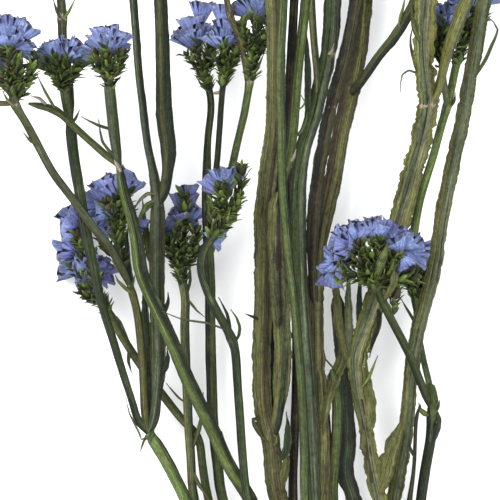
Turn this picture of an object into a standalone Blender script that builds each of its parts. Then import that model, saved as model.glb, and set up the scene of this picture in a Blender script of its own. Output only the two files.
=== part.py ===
"""Dried statice: a tied bunch of winged, branched stems with papery blue heads, lying on its side.

Metres, +Z up. The bunch points along +Y, its cut ends at -Y, and it lies on the plane z = 0.
Route points below are millimetres: x to the right, y towards the flower tops.
"""

import math

import bmesh
import bpy
import numpy as np
from mathutils import Matrix, Vector

MM = 0.001
CENTRE = (-5.2, -22.6)  # middle of the bunch's box in route coordinates, mm
TIE_Y = -130.0  # where the twine holds the stems
TIE_TURNS = 3
TIE_SIDES = 16
TWINE = 1.9  # twine diameter
TIE_GAP = 0.5  # between the twine and the stems
GAP = 0.9  # least space between two stems that cross
FLOOR = 0.7  # lowest side of a stem above the surface
FLAT = 0.3  # how much of the twine and the lowest calyces the surface presses flat
STEM_EASE = 0.2  # allowance round each stem under the twine
RISE = 0.012  # how sharply a stem bends over another, per mm
SAMPLE = 2.5  # spacing of the route samples
BLADE = 0.7  # thickness of a wing or a leaf
CALYX_R = 4.3  # radius of one papery calyx
CALYX_FLAT = 0.78  # calyces are pressed a little flat
PLEATS = 4
CORE_R = 3.0  # middle of a head, where its calyces meet
CORE_H = 1.5
CORE_DROP = 3.9  # the calyces' middle hangs this far under the stalk's tip
# Calyces of a head past the photo's top: (angle from its axis, reach, height)
TOP_FAN = [(-77, 8.4, -1), (-26, 9, 0), (25, 9.2, 1), (76, 8.4, -1), (2, 6, 6), (-4, 6, -6)]
RESTING = ("head_t01", "head_t11", "head_t15", "head_low_left")  # heads that touch the surface
STEM_TONES = {
    "stem_l": (0.19, 0.22, 0.06), "stem_a": (0.16, 0.21, 0.07), "stem_w": (0.12, 0.12, 0.05),
    "stem_e": (0.10, 0.09, 0.05), "stem_w2": (0.24, 0.23, 0.08), "stem_c1": (0.15, 0.21, 0.09),
}

# Every branch, in the order in which they lie on one another, the lowest first:
# name: (stem, grows from, half width, half thickness, wing, height at foot, height at tip, route)
BRANCHES = {
    "q": ("stem_q", None, 1.1, 1.1, 0.0, 3, 6, [
        (12, -186), (16.5, -130), (6, -102), (-6, -80), (-10.8, -65), (-12.5, -55), (-13.4, -48.5),
        (-17, -45), (-21, -40), (-25.5, -34), (-29.5, -28.5), (-33, -23), (-35.8, -18), (-38.5, -13.5)]),
    "m": ("stem_m", None, 1.2, 1.2, 0.0, 3, 7, [
        (17, -193), (20, -130), (5, -105), (-9, -80), (-14.5, -65), (-15.3, -55), (-16, -45),
        (-16.6, -32), (-17, -20), (-16.7, -13), (-17.4, -9), (-18.4, -4.5)]),
    "b": ("stem_b", None, 1.4, 1.2, 1.6, 3, 7, [
        (22.5, -197), (23.5, -130), (12, -104), (-1, -80), (-7.1, -65), (-8.5, -55), (-9.6, -45),
        (-10, -35), (-10.3, -22), (-10.4, -8), (-11, 5), (-11.2, 20), (-10.9, 30), (-10.1, 36),
        (-10.4, 41), (-12, 46)]),
    "b_right": ("stem_b", "b", 0.8, 0.8, 0.0, 6, 8, [
        (-10.9, 12), (-8.9, 20), (-8, 30), (-7.6, 36), (-7.2, 41), (-6.6, 45.5)]),
    "d": ("stem_b", "b", 1.0, 1.0, 0.0, 6, 7, [
        (-10.4, -2), (-8.5, 8), (-5.5, 18), (-3.9, 25), (-2.5, 31), (-1.3, 36), (-0.5, 41),
        (0.1, 45), (0.6, 49.5)]),
    "d_left": ("stem_b", "d", 0.8, 0.8, 0.0, 7, 7, [
        (-0.4, 42), (-0.9, 46), (-1.8, 51), (-3, 55.5), (-5.2, 60.5), (-6.2, 66), (-8, 76), (-10.5, 88)]),
    "r": ("stem_r", None, 1.4, 1.25, 0.0, 3, 9, [
        (47, -192), (36, -130), (39.5, -100), (42.5, -80), (44.5, -65), (46, -55), (47.2, -48),
        (47.2, -41)]),
    "r_right": ("stem_r", "r", 0.85, 0.85, 0.0, 9, 8, [
        (47, -41), (46.9, -36), (45.7, -31), (44.6, -26), (43.6, -20), (43.5, -14), (43.4, -10.5)]),
    "g": ("stem_r", "r_right", 1.1, 1.1, 0.0, 8, 8, [
        (43.6, -16), (42.3, -8), (42.2, 0), (43, 7), (44.2, 13), (45.8, 18.5), (47.9, 25), (49.4, 31),
        (51.2, 37), (52.6, 43), (53.8, 49), (55.6, 54)]),
    "g_left": ("stem_r", "g", 0.9, 0.9, 0.0, 8, 8, [(51.6, 36.5), (50.6, 42), (49.8, 46.5), (49.6, 50.5)]),
    "f": ("stem_f", None, 1.3, 1.15, 2.0, 3, 8, [
        (44, -188), (37.5, -130), (37.2, -100), (37, -80), (37.6, -65), (39.1, -56), (40.8, -45),
        (41.6, -35), (42.8, -25), (45.2, -15), (47.7, -5), (49.3, 5), (51.1, 15), (53.2, 25),
        (55.4, 35), (57.1, 45), (59, 55), (60.6, 65), (64, 85), (67.5, 108), (70, 128)]),
    "p": ("stem_p", None, 0.85, 0.85, 0.0, 6, 12, [
        (40, -184), (37.5, -130), (38.8, -100), (40, -80), (41.5, -65), (42.6, -57), (43, -48),
        (43.3, -42.5), (44.4, -40.2)]),
    "k2": ("stem_k2", None, 1.35, 1.2, 2.0, 3, 8, [
        (37, -195), (34, -130), (32.5, -100), (29.5, -78), (27.2, -65), (25, -58), (25.8, -50),
        (25.2, -43), (24.6, -35), (24, -26), (23, -17), (22.7, -11)]),
    "k3": ("stem_k3", None, 1.4, 1.2, 0.0, 6, 12, [
        (38.5, -187), (34, -130), (29, -100), (24, -80), (21.6, -65), (22, -56), (22.6, -47),
        (22.6, -38), (21.2, -31)]),
    "k": ("stem_k", None, 1.2, 1.15, 0.0, 3, 8, [
        (26, -199), (27, -130), (20, -102), (13, -80), (11.2, -65), (11.5, -50), (12, -35),
        (12.1, -20), (11, -6), (9.9, 8), (9.6, 22), (9.9, 36), (10.5, 48), (11.3, 62), (12, 78)]),
    "e": ("stem_e", None, 1.45, 1.25, 2.4, 3, 8, [
        (31, -190), (30.5, -130), (25.5, -102), (20, -80), (18.4, -65), (18.6, -50), (17.4, -35),
        (16.9, -20), (17, -10), (18, 2), (20.2, 12), (22.2, 21), (23.5, 30), (25.4, 38), (26.9, 45),
        (28.6, 54), (29.6, 65), (32, 85), (35.5, 108), (38, 134)]),
    "e_dark": ("stem_e", "e", 1.2, 1.1, 1.8, 7, 9, [
        (16.9, -14), (16.2, -4), (16.4, 8), (17.8, 20), (19.6, 30), (21.3, 38), (22.9, 44),
        (24.7, 50), (26.2, 57), (27.7, 65), (30, 80), (32.5, 98)]),
    "e_right": ("stem_e", "e", 1.2, 1.1, 1.6, 8, 9, [
        (26.8, 41), (29.8, 45), (33.2, 50), (37.7, 55.5), (40.6, 60), (43.6, 66), (48.5, 75), (54, 86)]),
    "c3": ("stem_c3", None, 1.5, 1.25, 2.2, 6, 9, [
        (31.5, -198), (30.5, -130), (24, -102), (18, -80), (16.5, -65), (16, -55), (15.2, -38),
        (13.9, -22), (12.8, -5), (12.3, 8), (12.6, 18), (13.9, 27), (16.6, 35), (17.9, 41),
        (20.1, 50), (21.2, 58), (21.6, 66), (23, 82), (24.5, 100), (25.5, 120)]),
    "c3_left": ("stem_c3", "c3", 0.95, 0.95, 0.0, 9, 9, [
        (17.6, 39), (17.5, 45), (16.8, 52), (16.3, 59), (16, 66), (16.6, 76)]),
    "w2": ("stem_w2", None, 1.6, 1.35, 2.9, 9, 12, [
        (41, -196), (32, -130), (34, -100), (34.5, -80), (33.6, -65), (32, -58), (30.8, -50),
        (29.6, -43), (28.2, -36), (27.6, -28), (29.6, -22), (32.2, -15), (34.4, -8), (36.8, 0),
        (38.9, 8), (40.8, 15), (42.9, 23), (44.8, 30), (46.2, 38), (45.4, 45), (45, 55),
        (46, 66), (47, 84), (48.5, 104), (49.5, 116)]),
    "w2_right": ("stem_w2", "w2", 1.2, 1.1, 1.8, 12, 12, [
        (46.3, 37), (48.6, 41), (49.8, 46), (51.1, 51), (52.6, 56), (56.2, 65), (60, 76), (66, 92)]),
    "w": ("stem_w", None, 1.6, 1.35, 2.5, 9, 11, [
        (24, -189), (25, -130), (20, -104), (12, -82), (7.4, -65), (6.1, -57), (5.4, -49), (3.9, -44),
        (3.1, -36), (3.1, -26), (3.4, -14), (3.5, -2), (3.4, 9), (4.5, 18), (5.8, 27), (6.6, 36),
        (6.7, 48), (6.6, 62), (5, 80), (2.5, 100)]),
    "w_right": ("stem_w", "w", 1.5, 1.2, 2.4, 11, 11, [
        (5.6, -50), (7.2, -43), (8.2, -34), (8.4, -24), (7.7, -11), (7, 0), (6.9, 9), (7.3, 15)]),
    "c1": ("stem_c1", None, 1.2, 1.15, 0.0, 6, 14, [
        (27.5, -191), (27, -130), (22, -104), (16.5, -82), (14.2, -65), (14.1, -52), (13.4, -36),
        (12.3, -22), (11, -10), (9.6, 1), (8.7, 12), (8.2, 22), (8, 34), (7.7, 44), (8.1, 55),
        (8.6, 66), (8.8, 84), (9, 108), (9, 136)]),
    "c2": ("stem_c1", "c1", 1.3, 1.15, 0.0, 14, 13, [
        (8.3, 18), (10.3, 24.5), (11.2, 32), (11.9, 41), (12.7, 50), (13.7, 58), (14.5, 66), (16.5, 82)]),
    "a": ("stem_a", None, 1.7, 1.4, 1.9, 6, 14, [
        (13, -194), (16.5, -130), (1, -102), (-11, -80), (-16.6, -65), (-19.1, -60), (-21.6, -55),
        (-24.3, -50.5), (-26.3, -47.5)]),
    "a_mid": ("stem_a", "a", 1.05, 1.0, 0.0, 14, 18, [
        (-26.3, -47.5), (-27.3, -43), (-27.7, -34), (-28.3, -25), (-29.3, -16), (-31.2, -9)]),
    "a_inner": ("stem_a", "a_mid", 0.8, 0.8, 0.0, 17, 11, [(-31, -10), (-33.2, -4), (-34.3, 1), (-34.6, 5)]),
    "a_left": ("stem_a", "a", 1.35, 1.25, 1.7, 14, 17, [
        (-26.3, -47.5), (-29, -45), (-30.4, -40), (-33, -32), (-36, -22), (-38.4, -14.5), (-40.5, -5),
        (-42.6, 5), (-44.2, 15), (-45.8, 25), (-46.8, 34)]),
    "a_top": ("stem_a", "a_left", 1.2, 1.1, 0.0, 17, 11, [
        (-46.8, 34), (-46.8, 40), (-47.6, 48), (-48.8, 56), (-48.7, 61), (-49.3, 67), (-50, 76), (-51, 86)]),
    "a_fan": ("stem_a", "a_left", 1.2, 1.1, 0.0, 17, 17, [(-46.8, 34), (-47.7, 38.5), (-48.5, 43.5)]),
    "a_in": ("stem_a", "a", 1.4, 1.2, 2.1, 14, 14, [
        (-26.3, -47.5), (-24.9, -44), (-24.2, -37), (-23.8, -29), (-24, -19), (-24.2, -8),
        (-24.1, 3), (-23.9, 12), (-25, 20), (-26.7, 28), (-27.6, 36), (-28.7, 44), (-29.5, 54),
        (-30.3, 65), (-31.5, 82), (-33, 102)]),
    "a_in_right": ("stem_a", "a_in", 1.5, 1.2, 2.3, 14, 14, [
        (-23.6, 11), (-21.9, 17), (-21, 25), (-21.9, 32), (-22.5, 41), (-22.7, 52), (-23.2, 65),
        (-23.4, 84), (-23.5, 104), (-23.8, 122)]),
    "a_cross": ("stem_a", "a_mid", 1.1, 1.0, 0.0, 18, 20, [
        (-31.2, -9), (-33.4, -4.5), (-36.5, 1), (-40, 5), (-43.5, 10), (-47.3, 15), (-51.3, 20.5),
        (-55, 27.5), (-58.2, 33.5), (-61, 38), (-61.6, 42.5)]),
    "a_far": ("stem_a", "a_cross", 0.8, 0.8, 0.0, 19, 14, [
        (-60.6, 37.4), (-64, 37.6), (-69, 39), (-75, 43), (-79, 49)]),
    "l": ("stem_l", None, 1.5, 1.3, 2.0, 6, 19, [
        (18.5, -190), (20, -130), (13, -104), (5, -80), (0.3, -65), (-3, -60), (-6, -55), (-10.5, -45),
        (-15.5, -35), (-19.7, -25), (-24.3, -15), (-28.2, -6), (-29.1, 1), (-30.6, 8), (-32.7, 15),
        (-34, 22)]),
    "l_up": ("stem_l", "l", 1.1, 1.05, 0.0, 19, 17, [(-34, 22), (-35, 29), (-35.8, 37), (-36.5, 44.5)]),
    "l_left": ("stem_l", "l", 0.95, 0.95, 0.0, 19, 20, [
        (-34, 22), (-37, 24.3), (-40.5, 27.4), (-44, 30.5), (-47.5, 33.8), (-50.5, 36.5),
        (-53.5, 37.2), (-57.5, 38)]),
    "b2": ("stem_b2", None, 1.15, 1.1, 0.0, 6, 12, [
        (22, -185), (23.5, -130), (14, -104), (5, -82), (-0.5, -65), (-1.8, -55), (-2.5, -45),
        (-3.3, -34), (-4, -25), (-6.3, -20), (-9.6, -14), (-12, -8), (-12.8, -3), (-10.6, 2.5),
        (-7.3, 5.6), (-5.4, 8.5)]),
    "r_fan": ("stem_r", "r", 1.1, 1.1, 0.0, 10, 22, [
        (47, -41), (44.2, -34), (41.3, -27), (38.2, -21), (35.2, -15.3), (32.6, -9.5)]),
}
# Heads whose calyces are each placed: name: (branch, middle of the head, calyces as (x, y, height),
# tips of the green bracts). Heights are measured from the stalk's tip.
HEADS = {
    "head_left_edge": ("a_cross", [(-61.8, 47.5), (-62.3, 51)], [
        (-56.8, 52.5, 0), (-57, 58.2, 1), (-61.2, 60.4, 0), (-66, 59.5, 0), (-69, 54.5, -1), (-67.8, 49, 0),
        (-62.5, 56, 5), (-60, 50, -5), (-66, 53, -6)],
        [(-58, 48), (-61.6, 51.2), (-65.4, 47)]),
    "head_fan": ("a_fan", [(-48.7, 48)], [
        (-55, 51.3, 0), (-51.7, 54, 3), (-47.7, 54.5, 1), (-43.2, 52, 0), (-46, 52.5, 5),
        (-53, 51, -4), (-45.5, 52.5, -4)],
        [(-54.4, 48.4), (-50.8, 50.6), (-46.8, 50.4), (-43.6, 48.4)]),
    "head_long": ("l_up", [(-36.8, 49.5)], [
        (-40.3, 55, 0), (-37.5, 57.6, 1), (-33, 56.5, 0), (-35.5, 55, 5), (-38.6, 54.5, -4),
        (-33.6, 54.5, -4)],
        [(-41, 49.4), (-37.6, 53), (-33.6, 51)]),
    "head_pair_left": ("b", [(-13.8, 51.5)], [
        (-18.3, 57, 0), (-15.3, 60.5, 1), (-11.9, 59, 0), (-15.5, 57, 5), (-16.5, 57, -5), (-12.5, 64.5, 0)],
        [(-16.8, 51), (-14, 55), (-10.8, 52)]),
    "head_pair_right": ("b_right", [(-6.4, 51)], [
        (-9.3, 57, 0), (-5.8, 59.5, 1), (-3.4, 55.8, 0), (-7.2, 56.2, 5), (-7, 63.6, 0), (-5.5, 57, -5)],
        [(-8.8, 50), (-6.8, 54), (-3.6, 51.4)]),
    "head_mid": ("m", [(-17.8, 3), (-17, 6.5)], [
        (-21, 9.2, 0), (-17, 14.6, 1), (-13.4, 11.4, 0), (-17.6, 10.4, 5), (-22.2, 4.5, -3),
        (-14.6, 8, -5), (-18.5, 11, -5)],
        [(-21.3, 1.6), (-18.8, 8), (-14.4, 2.4)]),
    "head_small_front": ("b2", [(-6.3, 13)], [
        (-10.2, 19.6, 0), (-6.9, 21, 2), (-4.6, 20.4, -1), (-9.4, 17.5, -4)],
        [(-8.8, 13), (-5.6, 17.8), (-2, 14)]),
    "head_top": ("d", [(1.6, 55.5), (2.2, 59)], [
        (6.6, 60.6, 0), (5.6, 67, 1), (0.8, 69, 0), (-3.2, 64.5, 0), (2.2, 65.4, 5), (4.5, 62.5, -5),
        (-1, 65, -5)],
        [(-2.2, 58), (1.2, 62.5), (5.4, 57.8)]),
    "head_behind": ("g_left", [(50.2, 56)], [
        (46.4, 61.5, 0), (50.4, 63.6, 1), (54.4, 62.6, 0), (44.2, 56.8, -1), (50, 61.2, 5),
        (51.6, 61, -5)],
        [(47, 56), (50.2, 59.4), (53.2, 55.8)]),
    "head_green": ("g", [(57.2, 60), (57.8, 62.5)], [
        (53.8, 67, 0), (58.4, 70, 1), (63, 67.4, 0), (58.2, 66.5, 5), (60.4, 66.8, -5)],
        [(54.2, 60.6), (57.6, 65.2), (61, 60.4)]),
    "head_low_left": ("q", [(-42.2, -6), (-44.6, 1), (-44.8, 6)], [
        (-47.8, 11, 0), (-49.2, 5.8, 2), (-50.2, -0.8, 0), (-44.8, -7.4, 3), (-37, -6.6, 0),
        (-46.5, 8.6, 5), (-49.4, -4.6, -3)],
        [(-47.8, -3), (-45, 2.6), (-40.8, 0.6)]),
    "head_low_right": ("a_inner", [(-35.4, 9.6), (-35.8, 12)], [
        (-41.2, 15.4, 0), (-40.2, 9.2, 2), (-37, 18.8, 1), (-30.2, 19.4, 0), (-36.8, 4.6, -2),
        (-33.6, 19, -4)],
        [(-38.2, 13), (-34, 15.6), (-30.8, 10.8)]),
    "head_right_low": ("r_right", [(44, -6)], [
        (46.8, -0.6, 0), (47.6, -4.8, 0), (42.6, 0.6, 1), (44.8, 1.6, -3)],
        [(41.6, -5.6), (44.6, -3.2), (46.6, -7.2)]),
    "head_front": ("r_fan", [(22.5, -3.4), (27.5, 0.6), (33, 1.6), (39, -1)], [
        (18.9, -2.6, 0), (20.7, -9.4, 0), (21.2, 3.4, 0), (24.6, 6.2, 1), (29.2, 6.8, 2),
        (34.2, 6.8, 2), (38.9, 4.4, 1), (43.6, 2.4, 0), (40.9, -5.2, 4), (46, -1.4, -1),
        (24.2, 0.8, 5), (37, 2.4, 5), (30.5, 5.6, -4), (22.4, -4.6, -5)],
        [(23, -5), (26, 0.6), (31, 3), (34.6, 0.4), (37.6, -4.6)]),
}
# Heads past the photo's top: name: (branch, size)
TOPS = {
    "head_t01": ("a_top", 1.0),
    "head_t02": ("a_in", 1.05),
    "head_t03": ("a_in_right", 1.1),
    "head_t04": ("a_far", 0.95),
    "head_t05": ("d_left", 0.95),
    "head_t06": ("w", 1.0),
    "head_t07": ("c1", 1.1),
    "head_t09": ("c3", 1.05),
    "head_t10": ("e_dark", 0.95),
    "head_t11": ("e", 1.1),
    "head_t12": ("e_right", 1.0),
    "head_t13": ("w2", 1.0),
    "head_t14": ("w2_right", 1.0),
    "head_t15": ("f", 1.1),
}


def smooth_route(points):
    """Points every SAMPLE mm on a smooth curve through these."""
    p = np.array(points, float)
    ends = np.vstack([2 * p[0] - p[1], p, 2 * p[-1] - p[-2]])
    out = []
    for i in range(1, len(ends) - 2):
        a, b, c, d = ends[i - 1 : i + 3]
        count = max(1, round(np.linalg.norm(c - b) / SAMPLE))
        for t in np.arange(count) / count:
            out.append(0.5 * (2 * b + (c - a) * t + (2 * a - 5 * b + 4 * c - d) * t**2
                              + (3 * b - a - 3 * c + d) * t**3))
    out.append(p[-1])
    return np.array(out)


def lengths(points):
    steps = np.linalg.norm(np.diff(points, axis=0), axis=1)
    return np.concatenate([[0], np.cumsum(steps)])


def fade(y, low, high):
    t = np.clip((y - low) / (high - low), 0, 1)
    return t * t * (3 - 2 * t)


def wing_width(core, wing, xy):
    """Half width at each sample: the wings fade towards the tie."""
    full = max(core, wing)
    return core + (full - core) * fade(xy[:, 1], -95, -62)


def head_calyces(name, laid):
    """Middle line and calyces of a head, as offsets from its stalk's tip."""
    if name in HEADS:
        branch, middle, calyces, tips = HEADS[name]
        tip = laid[branch]["xy"][-1]
        middle = np.array(middle, float) - tip
        calyces = np.array(calyces, float)
        calyces[:, :2] -= tip
        return branch, middle, calyces, np.array(tips, float) - tip
    branch, size = TOPS[name]
    xy = laid[branch]["xy"]
    along = xy[-1] - xy[-3]
    along /= np.linalg.norm(along)
    side = np.array([along[1], -along[0]])
    middle = np.array([along * 5.5 * size, along * 7.5 * size])
    calyces = []
    for angle, reach, height in TOP_FAN:
        way = math.cos(math.radians(angle)) * along + math.sin(math.radians(angle)) * side
        calyces.append([*(middle[0] + way * reach * size), height])
    tips = []
    for angle in (-34, 38):
        way = math.cos(math.radians(angle)) * along + math.sin(math.radians(angle)) * side
        tips.append(way * 7.6 * size)
    return branch, middle, np.array(calyces), np.array(tips)


def lay():
    """Lays each branch, then its head, on what lies there already, and gives every sample a height."""
    laid, spots = {}, []
    heads = {row[0]: name for name, row in (HEADS | TOPS).items()}

    def needed(x, y, half, thick, stem, clear):
        """Lowest height at which something this big clears what is there."""
        low = 0.0
        for group, sx, sy, sz, sw, st in spots:
            reach = sw + half + GAP
            gap = (sx - x) ** 2 + (sy - y) ** 2
            if group == stem and clear is not None:
                gap = gap + 1e9 * ((sx - clear[0]) ** 2 + (sy - clear[1]) ** 2 < 18.0**2)
            hit = gap < reach**2
            if hit.any():
                lift = sz[hit] + (st[hit] + thick + GAP) * np.sqrt(1 - gap[hit] / reach[hit] ** 2) ** 0.5
                low = max(low, lift.max())
        return low

    for name, (stem, parent, core, thick, wing, z0, z1, points) in BRANCHES.items():
        xy = smooth_route(points)
        along = lengths(xy)
        width = wing_width(core, wing, xy)
        if parent:
            width = core + (width - core) * fade(along, 5, 18)
        z = z0 + (z1 - z0) * fade(xy[:, 1], -125, -45)
        foot = near = None
        if parent:
            host = laid[parent]
            near = int(np.argmin(np.linalg.norm(host["xy"] - xy[0], axis=1)))
            foot = xy[0] = host["xy"][near]
            z = host["z"][near] + (z1 - host["z"][near]) * along / along[-1]
        near_tie = 1 - np.clip((abs(xy[:, 1] - TIE_Y) - 8) / 30, 0, 1) ** 2
        floor = thick + FLOOR + (TWINE + TIE_GAP + STEM_EASE - FLAT - FLOOR) * near_tie
        need = np.maximum(floor, [needed(x, y, w, thick, stem, foot) for (x, y), w in zip(xy, width)])
        laid[name] = {"xy": xy, "width": width, "thick": thick, "host": near}
        head = heads.get(name)
        if head:
            _, middle, calyces, tips = head_calyces(head, laid)
            tip = xy[-1]
            rows = [(*(tip + m), CORE_DROP, CORE_R, CORE_H) for m in middle]
            rows += [(*(tip + c[:2]), CORE_DROP - c[2], CALYX_R * 0.9, CALYX_R * CALYX_FLAT) for c in calyces]
            for c in calyces:
                start = middle[np.argmin(np.linalg.norm(middle - c[:2], axis=1))]
                half = (start + c[:2]) / 2
                rows.append((*(tip + half), CORE_DROP - c[2] / 2, 2.6, 2.2))
            drop = max(needed(x, y, r, h, None, None) + d for x, y, d, r, h in rows)
            ground = max(d + h + FLOOR for x, y, d, r, h in rows)
            need[-1] = max(need[-1], drop, ground)
        for i in range(1 if parent else 0, len(z)):
            bow = need - RISE * (along - along[i]) ** 2
            z[i] = max(z[i], bow.max())
        if parent:
            slow = np.minimum(z, z[0] + (z - z[0]) * np.clip(along / 14, 0, 1))
            z = np.where(along < 14, slow, z)
            z = np.maximum(z, np.where(along > 6, need, z))
        laid[name]["z"] = z
        spots.append((stem, xy[:, 0], xy[:, 1], z, width, np.full(len(z), thick)))
        if head:
            x, y, d, r, h = np.array(rows).T
            spots.append((head, x, y, z[-1] - d, r, h))
            green = np.array([[*(tip + t * k), z[-1] + 0.3 * np.linalg.norm(t * k)]
                              for t in tips for k in (0.4, 0.9)])
            spots.append((stem, *green.T, np.full(len(green), 1.2), np.full(len(green), 1.0)))
    return laid


def picks(xy, winged, kept):
    """Which samples carry a ring: the kept ones, and others closer together along the middle."""
    chosen, last = [0], 0
    for i in range(1, len(xy) - 1):
        if i in kept:
            chosen.append(i)
            last = i
            continue
        y = xy[i, 1]
        step = 9.6 if winged else 14
        if y < -72 or y > 70:
            step = 20
        if (i - last) * SAMPLE >= step and (len(xy) - 1 - i) * SAMPLE > 3:
            chosen.append(i)
            last = i
    return chosen + [len(xy) - 1]


def section(core, thick, width, beat):
    """One ring as (across, up) pairs: three ridges, or a core between two waved wings."""
    if width < core + 0.15:
        corners = []
        for k in range(5):
            turn = math.radians(72 * k + 14 * math.sin(beat * 0.7))
            r = (1.06, 0.9, 1.06, 0.96, 0.9)[k]
            corners.append((core * r * math.cos(turn), thick * r * math.sin(turn)))
        return corners
    wave_r = 0.55 * math.sin(beat * 2.1)
    wave_l = 0.55 * math.sin(beat * 2.6 + 1.5)
    right = width * (1 + 0.08 * math.sin(beat * 3.4))
    left = width * (1 + 0.08 * math.sin(beat * 2.9 + 2))
    half = BLADE / 2
    return [
        (right, wave_r + half), (core * 0.45, thick), (-core * 0.45, thick), (-left, wave_l + half),
        (-left, wave_l - half), (-core * 0.45, -thick), (core * 0.45, -thick), (right, wave_r - half),
    ]


def ring_solid(mesh, rings, tip=None):
    """Skins rings of equal length and closes both ends."""
    rows = [[mesh.verts.new(Vector(p) * MM) for p in ring] for ring in rings]
    count = len(rows[0])
    for a, b in zip(rows, rows[1:]):
        for k in range(count):
            n = (k + 1) % count
            mesh.faces.new((a[k], a[n], b[n]))
            mesh.faces.new((a[k], b[n], b[k]))
    for row, flip in ((rows[0], True), (rows[-1], False)):
        place = sum((v.co for v in row), Vector()) / count
        if tip is not None and not flip:
            place = Vector(tip) * MM
        centre = mesh.verts.new(place)
        for k in range(count):
            n = (k + 1) % count
            mesh.faces.new((row[n], row[k], centre) if flip else (row[k], row[n], centre))


def new_object(name, mesh):
    bmesh.ops.recalc_face_normals(mesh, faces=mesh.faces)
    data = bpy.data.meshes.new(name)
    mesh.to_mesh(data)
    mesh.free()
    made = bpy.data.objects.new(name, data)
    bpy.context.scene.collection.objects.link(made)
    return made


def branch_solid(name, laid):
    stem, parent, core, thick, wing, *_ = BRANCHES[name]
    branch = laid[name]
    line = np.column_stack([branch["xy"], branch["z"]])
    winged = wing > 0
    feet = {laid[child]["host"] for child, row in BRANCHES.items() if row[1] == name}
    if parent is None:
        feet.add(int(np.argmin(abs(branch["xy"][:, 1] - TIE_Y))))
    chosen = picks(branch["xy"], winged, feet)
    rings = []
    for n, i in enumerate(chosen):
        ahead = line[min(i + 1, len(line) - 1)] - line[max(i - 1, 0)]
        ahead /= np.linalg.norm(ahead)
        across = np.cross(ahead, (0, 0, 1))
        across /= np.linalg.norm(across)
        up = np.cross(across, ahead)
        small = 0.8 if n == len(chosen) - 1 else 1.0
        width = branch["width"][i] if winged else core
        if winged and width < core + 0.15:
            width = core + 0.15
        if parent and n == 0:
            width = min(width, core + 0.15) if winged else core
            small = 0.8
        ring = section(core, thick, width, n * 1.7 + core * 9)
        rings.append([line[i] + (across * a + up * b) * small for a, b in ring])
    mesh = bmesh.new()
    ring_solid(mesh, rings)
    return new_object(name, mesh)


def spike(mesh, foot, tip, wide, thick):
    """A pointed bract or leaf tip: a four-sided blade from foot to tip."""
    foot, tip = np.array(foot, float), np.array(tip, float)
    ahead = (tip - foot) / np.linalg.norm(tip - foot)
    across = np.cross(ahead, (0, 0, 1))
    across /= np.linalg.norm(across)
    up = np.cross(across, ahead)
    rings = []
    for share, size in ((0.0, 0.6), (0.5, 1.0)):
        at = foot + (tip - foot) * share + up * 1.2 * thick * share
        rings.append([at + across * a * wide * size + up * b * thick * size
                      for a, b in ((1, -0.5), (0, 1), (-1, -0.5))])
    rows = [[mesh.verts.new(Vector(p) * MM) for p in ring] for ring in rings]
    end = mesh.verts.new(Vector(tip) * MM)
    mesh.faces.new(rows[0])
    for k in range(3):
        n = (k + 1) % 3
        mesh.faces.new((rows[0][n], rows[0][k], rows[1][k]))
        mesh.faces.new((rows[0][n], rows[1][k], rows[1][n]))
        mesh.faces.new((rows[1][n], rows[1][k], end))


def calyx(mesh, throat, rim, radius, beat, pleats):
    """A papery funnel: pleated side, toothed rim and a hollow mouth."""
    throat, rim = np.array(throat, float), np.array(rim, float)
    out = (rim - throat) / np.linalg.norm(rim - throat)
    across = np.cross(out, (0, 0, 1))
    across /= max(np.linalg.norm(across), 1e-6)
    up = np.cross(across, out)
    apex = mesh.verts.new(Vector(throat) * MM)
    mouth = mesh.verts.new(Vector(rim - out * radius * 0.45) * MM)
    ring = []
    for k in range(2 * pleats):
        turn = math.pi * k / pleats + beat
        r = radius * (1.0 if k % 2 else 0.78)
        lift = 0.35 if k % 2 else -0.35
        at = rim + out * lift + across * r * math.cos(turn) + up * r * CALYX_FLAT * math.sin(turn)
        ring.append(mesh.verts.new(Vector(at) * MM))
    for k in range(2 * pleats):
        n = (k + 1) % (2 * pleats)
        mesh.faces.new((apex, ring[n], ring[k]))
        mesh.faces.new((mouth, ring[k], ring[n]))


def keep_outside(data):
    """Leaves only the outer skin of the largest body: sealed hollows and scraps go."""
    mesh = bmesh.new()
    mesh.from_mesh(data)
    bmesh.ops.triangulate(mesh, faces=mesh.faces)
    left, skins = set(mesh.faces), []
    while left:
        skin, edge = set(), [left.pop()]
        while edge:
            face = edge.pop()
            skin.add(face)
            for line in face.edges:
                for other in line.link_faces:
                    if other in left:
                        left.remove(other)
                        edge.append(other)
        skins.append(skin)
    sizes = [sum(f.verts[0].co.dot(f.verts[1].co.cross(f.verts[2].co)) for f in skin) for skin in skins]
    for skin, size in zip(skins, sizes):
        if size < max(sizes):
            bmesh.ops.delete(mesh, geom=list(skin), context="FACES")
    mesh.to_mesh(data)
    mesh.free()


def join(name, pieces):
    """Makes one closed body out of overlapping pieces."""
    first, rest = pieces[0], pieces[1:]
    first.name = name
    if not rest:
        return first
    group = bpy.data.collections.new(name + "_pieces")
    bpy.context.scene.collection.children.link(group)
    for piece in rest:
        bpy.context.scene.collection.objects.unlink(piece)
        group.objects.link(piece)
    cut = first.modifiers.new("join", "BOOLEAN")
    cut.operation = "UNION"
    cut.solver = "MANIFOLD"
    cut.operand_type = "COLLECTION"
    cut.collection = group
    bpy.context.view_layer.update()
    graph = bpy.context.evaluated_depsgraph_get()
    joined = bpy.data.meshes.new_from_object(first.evaluated_get(graph))
    keep_outside(joined)
    first.modifiers.clear()
    first.data = joined
    for piece in list(group.objects):
        bpy.data.objects.remove(piece)
    bpy.data.collections.remove(group)
    return first


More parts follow.
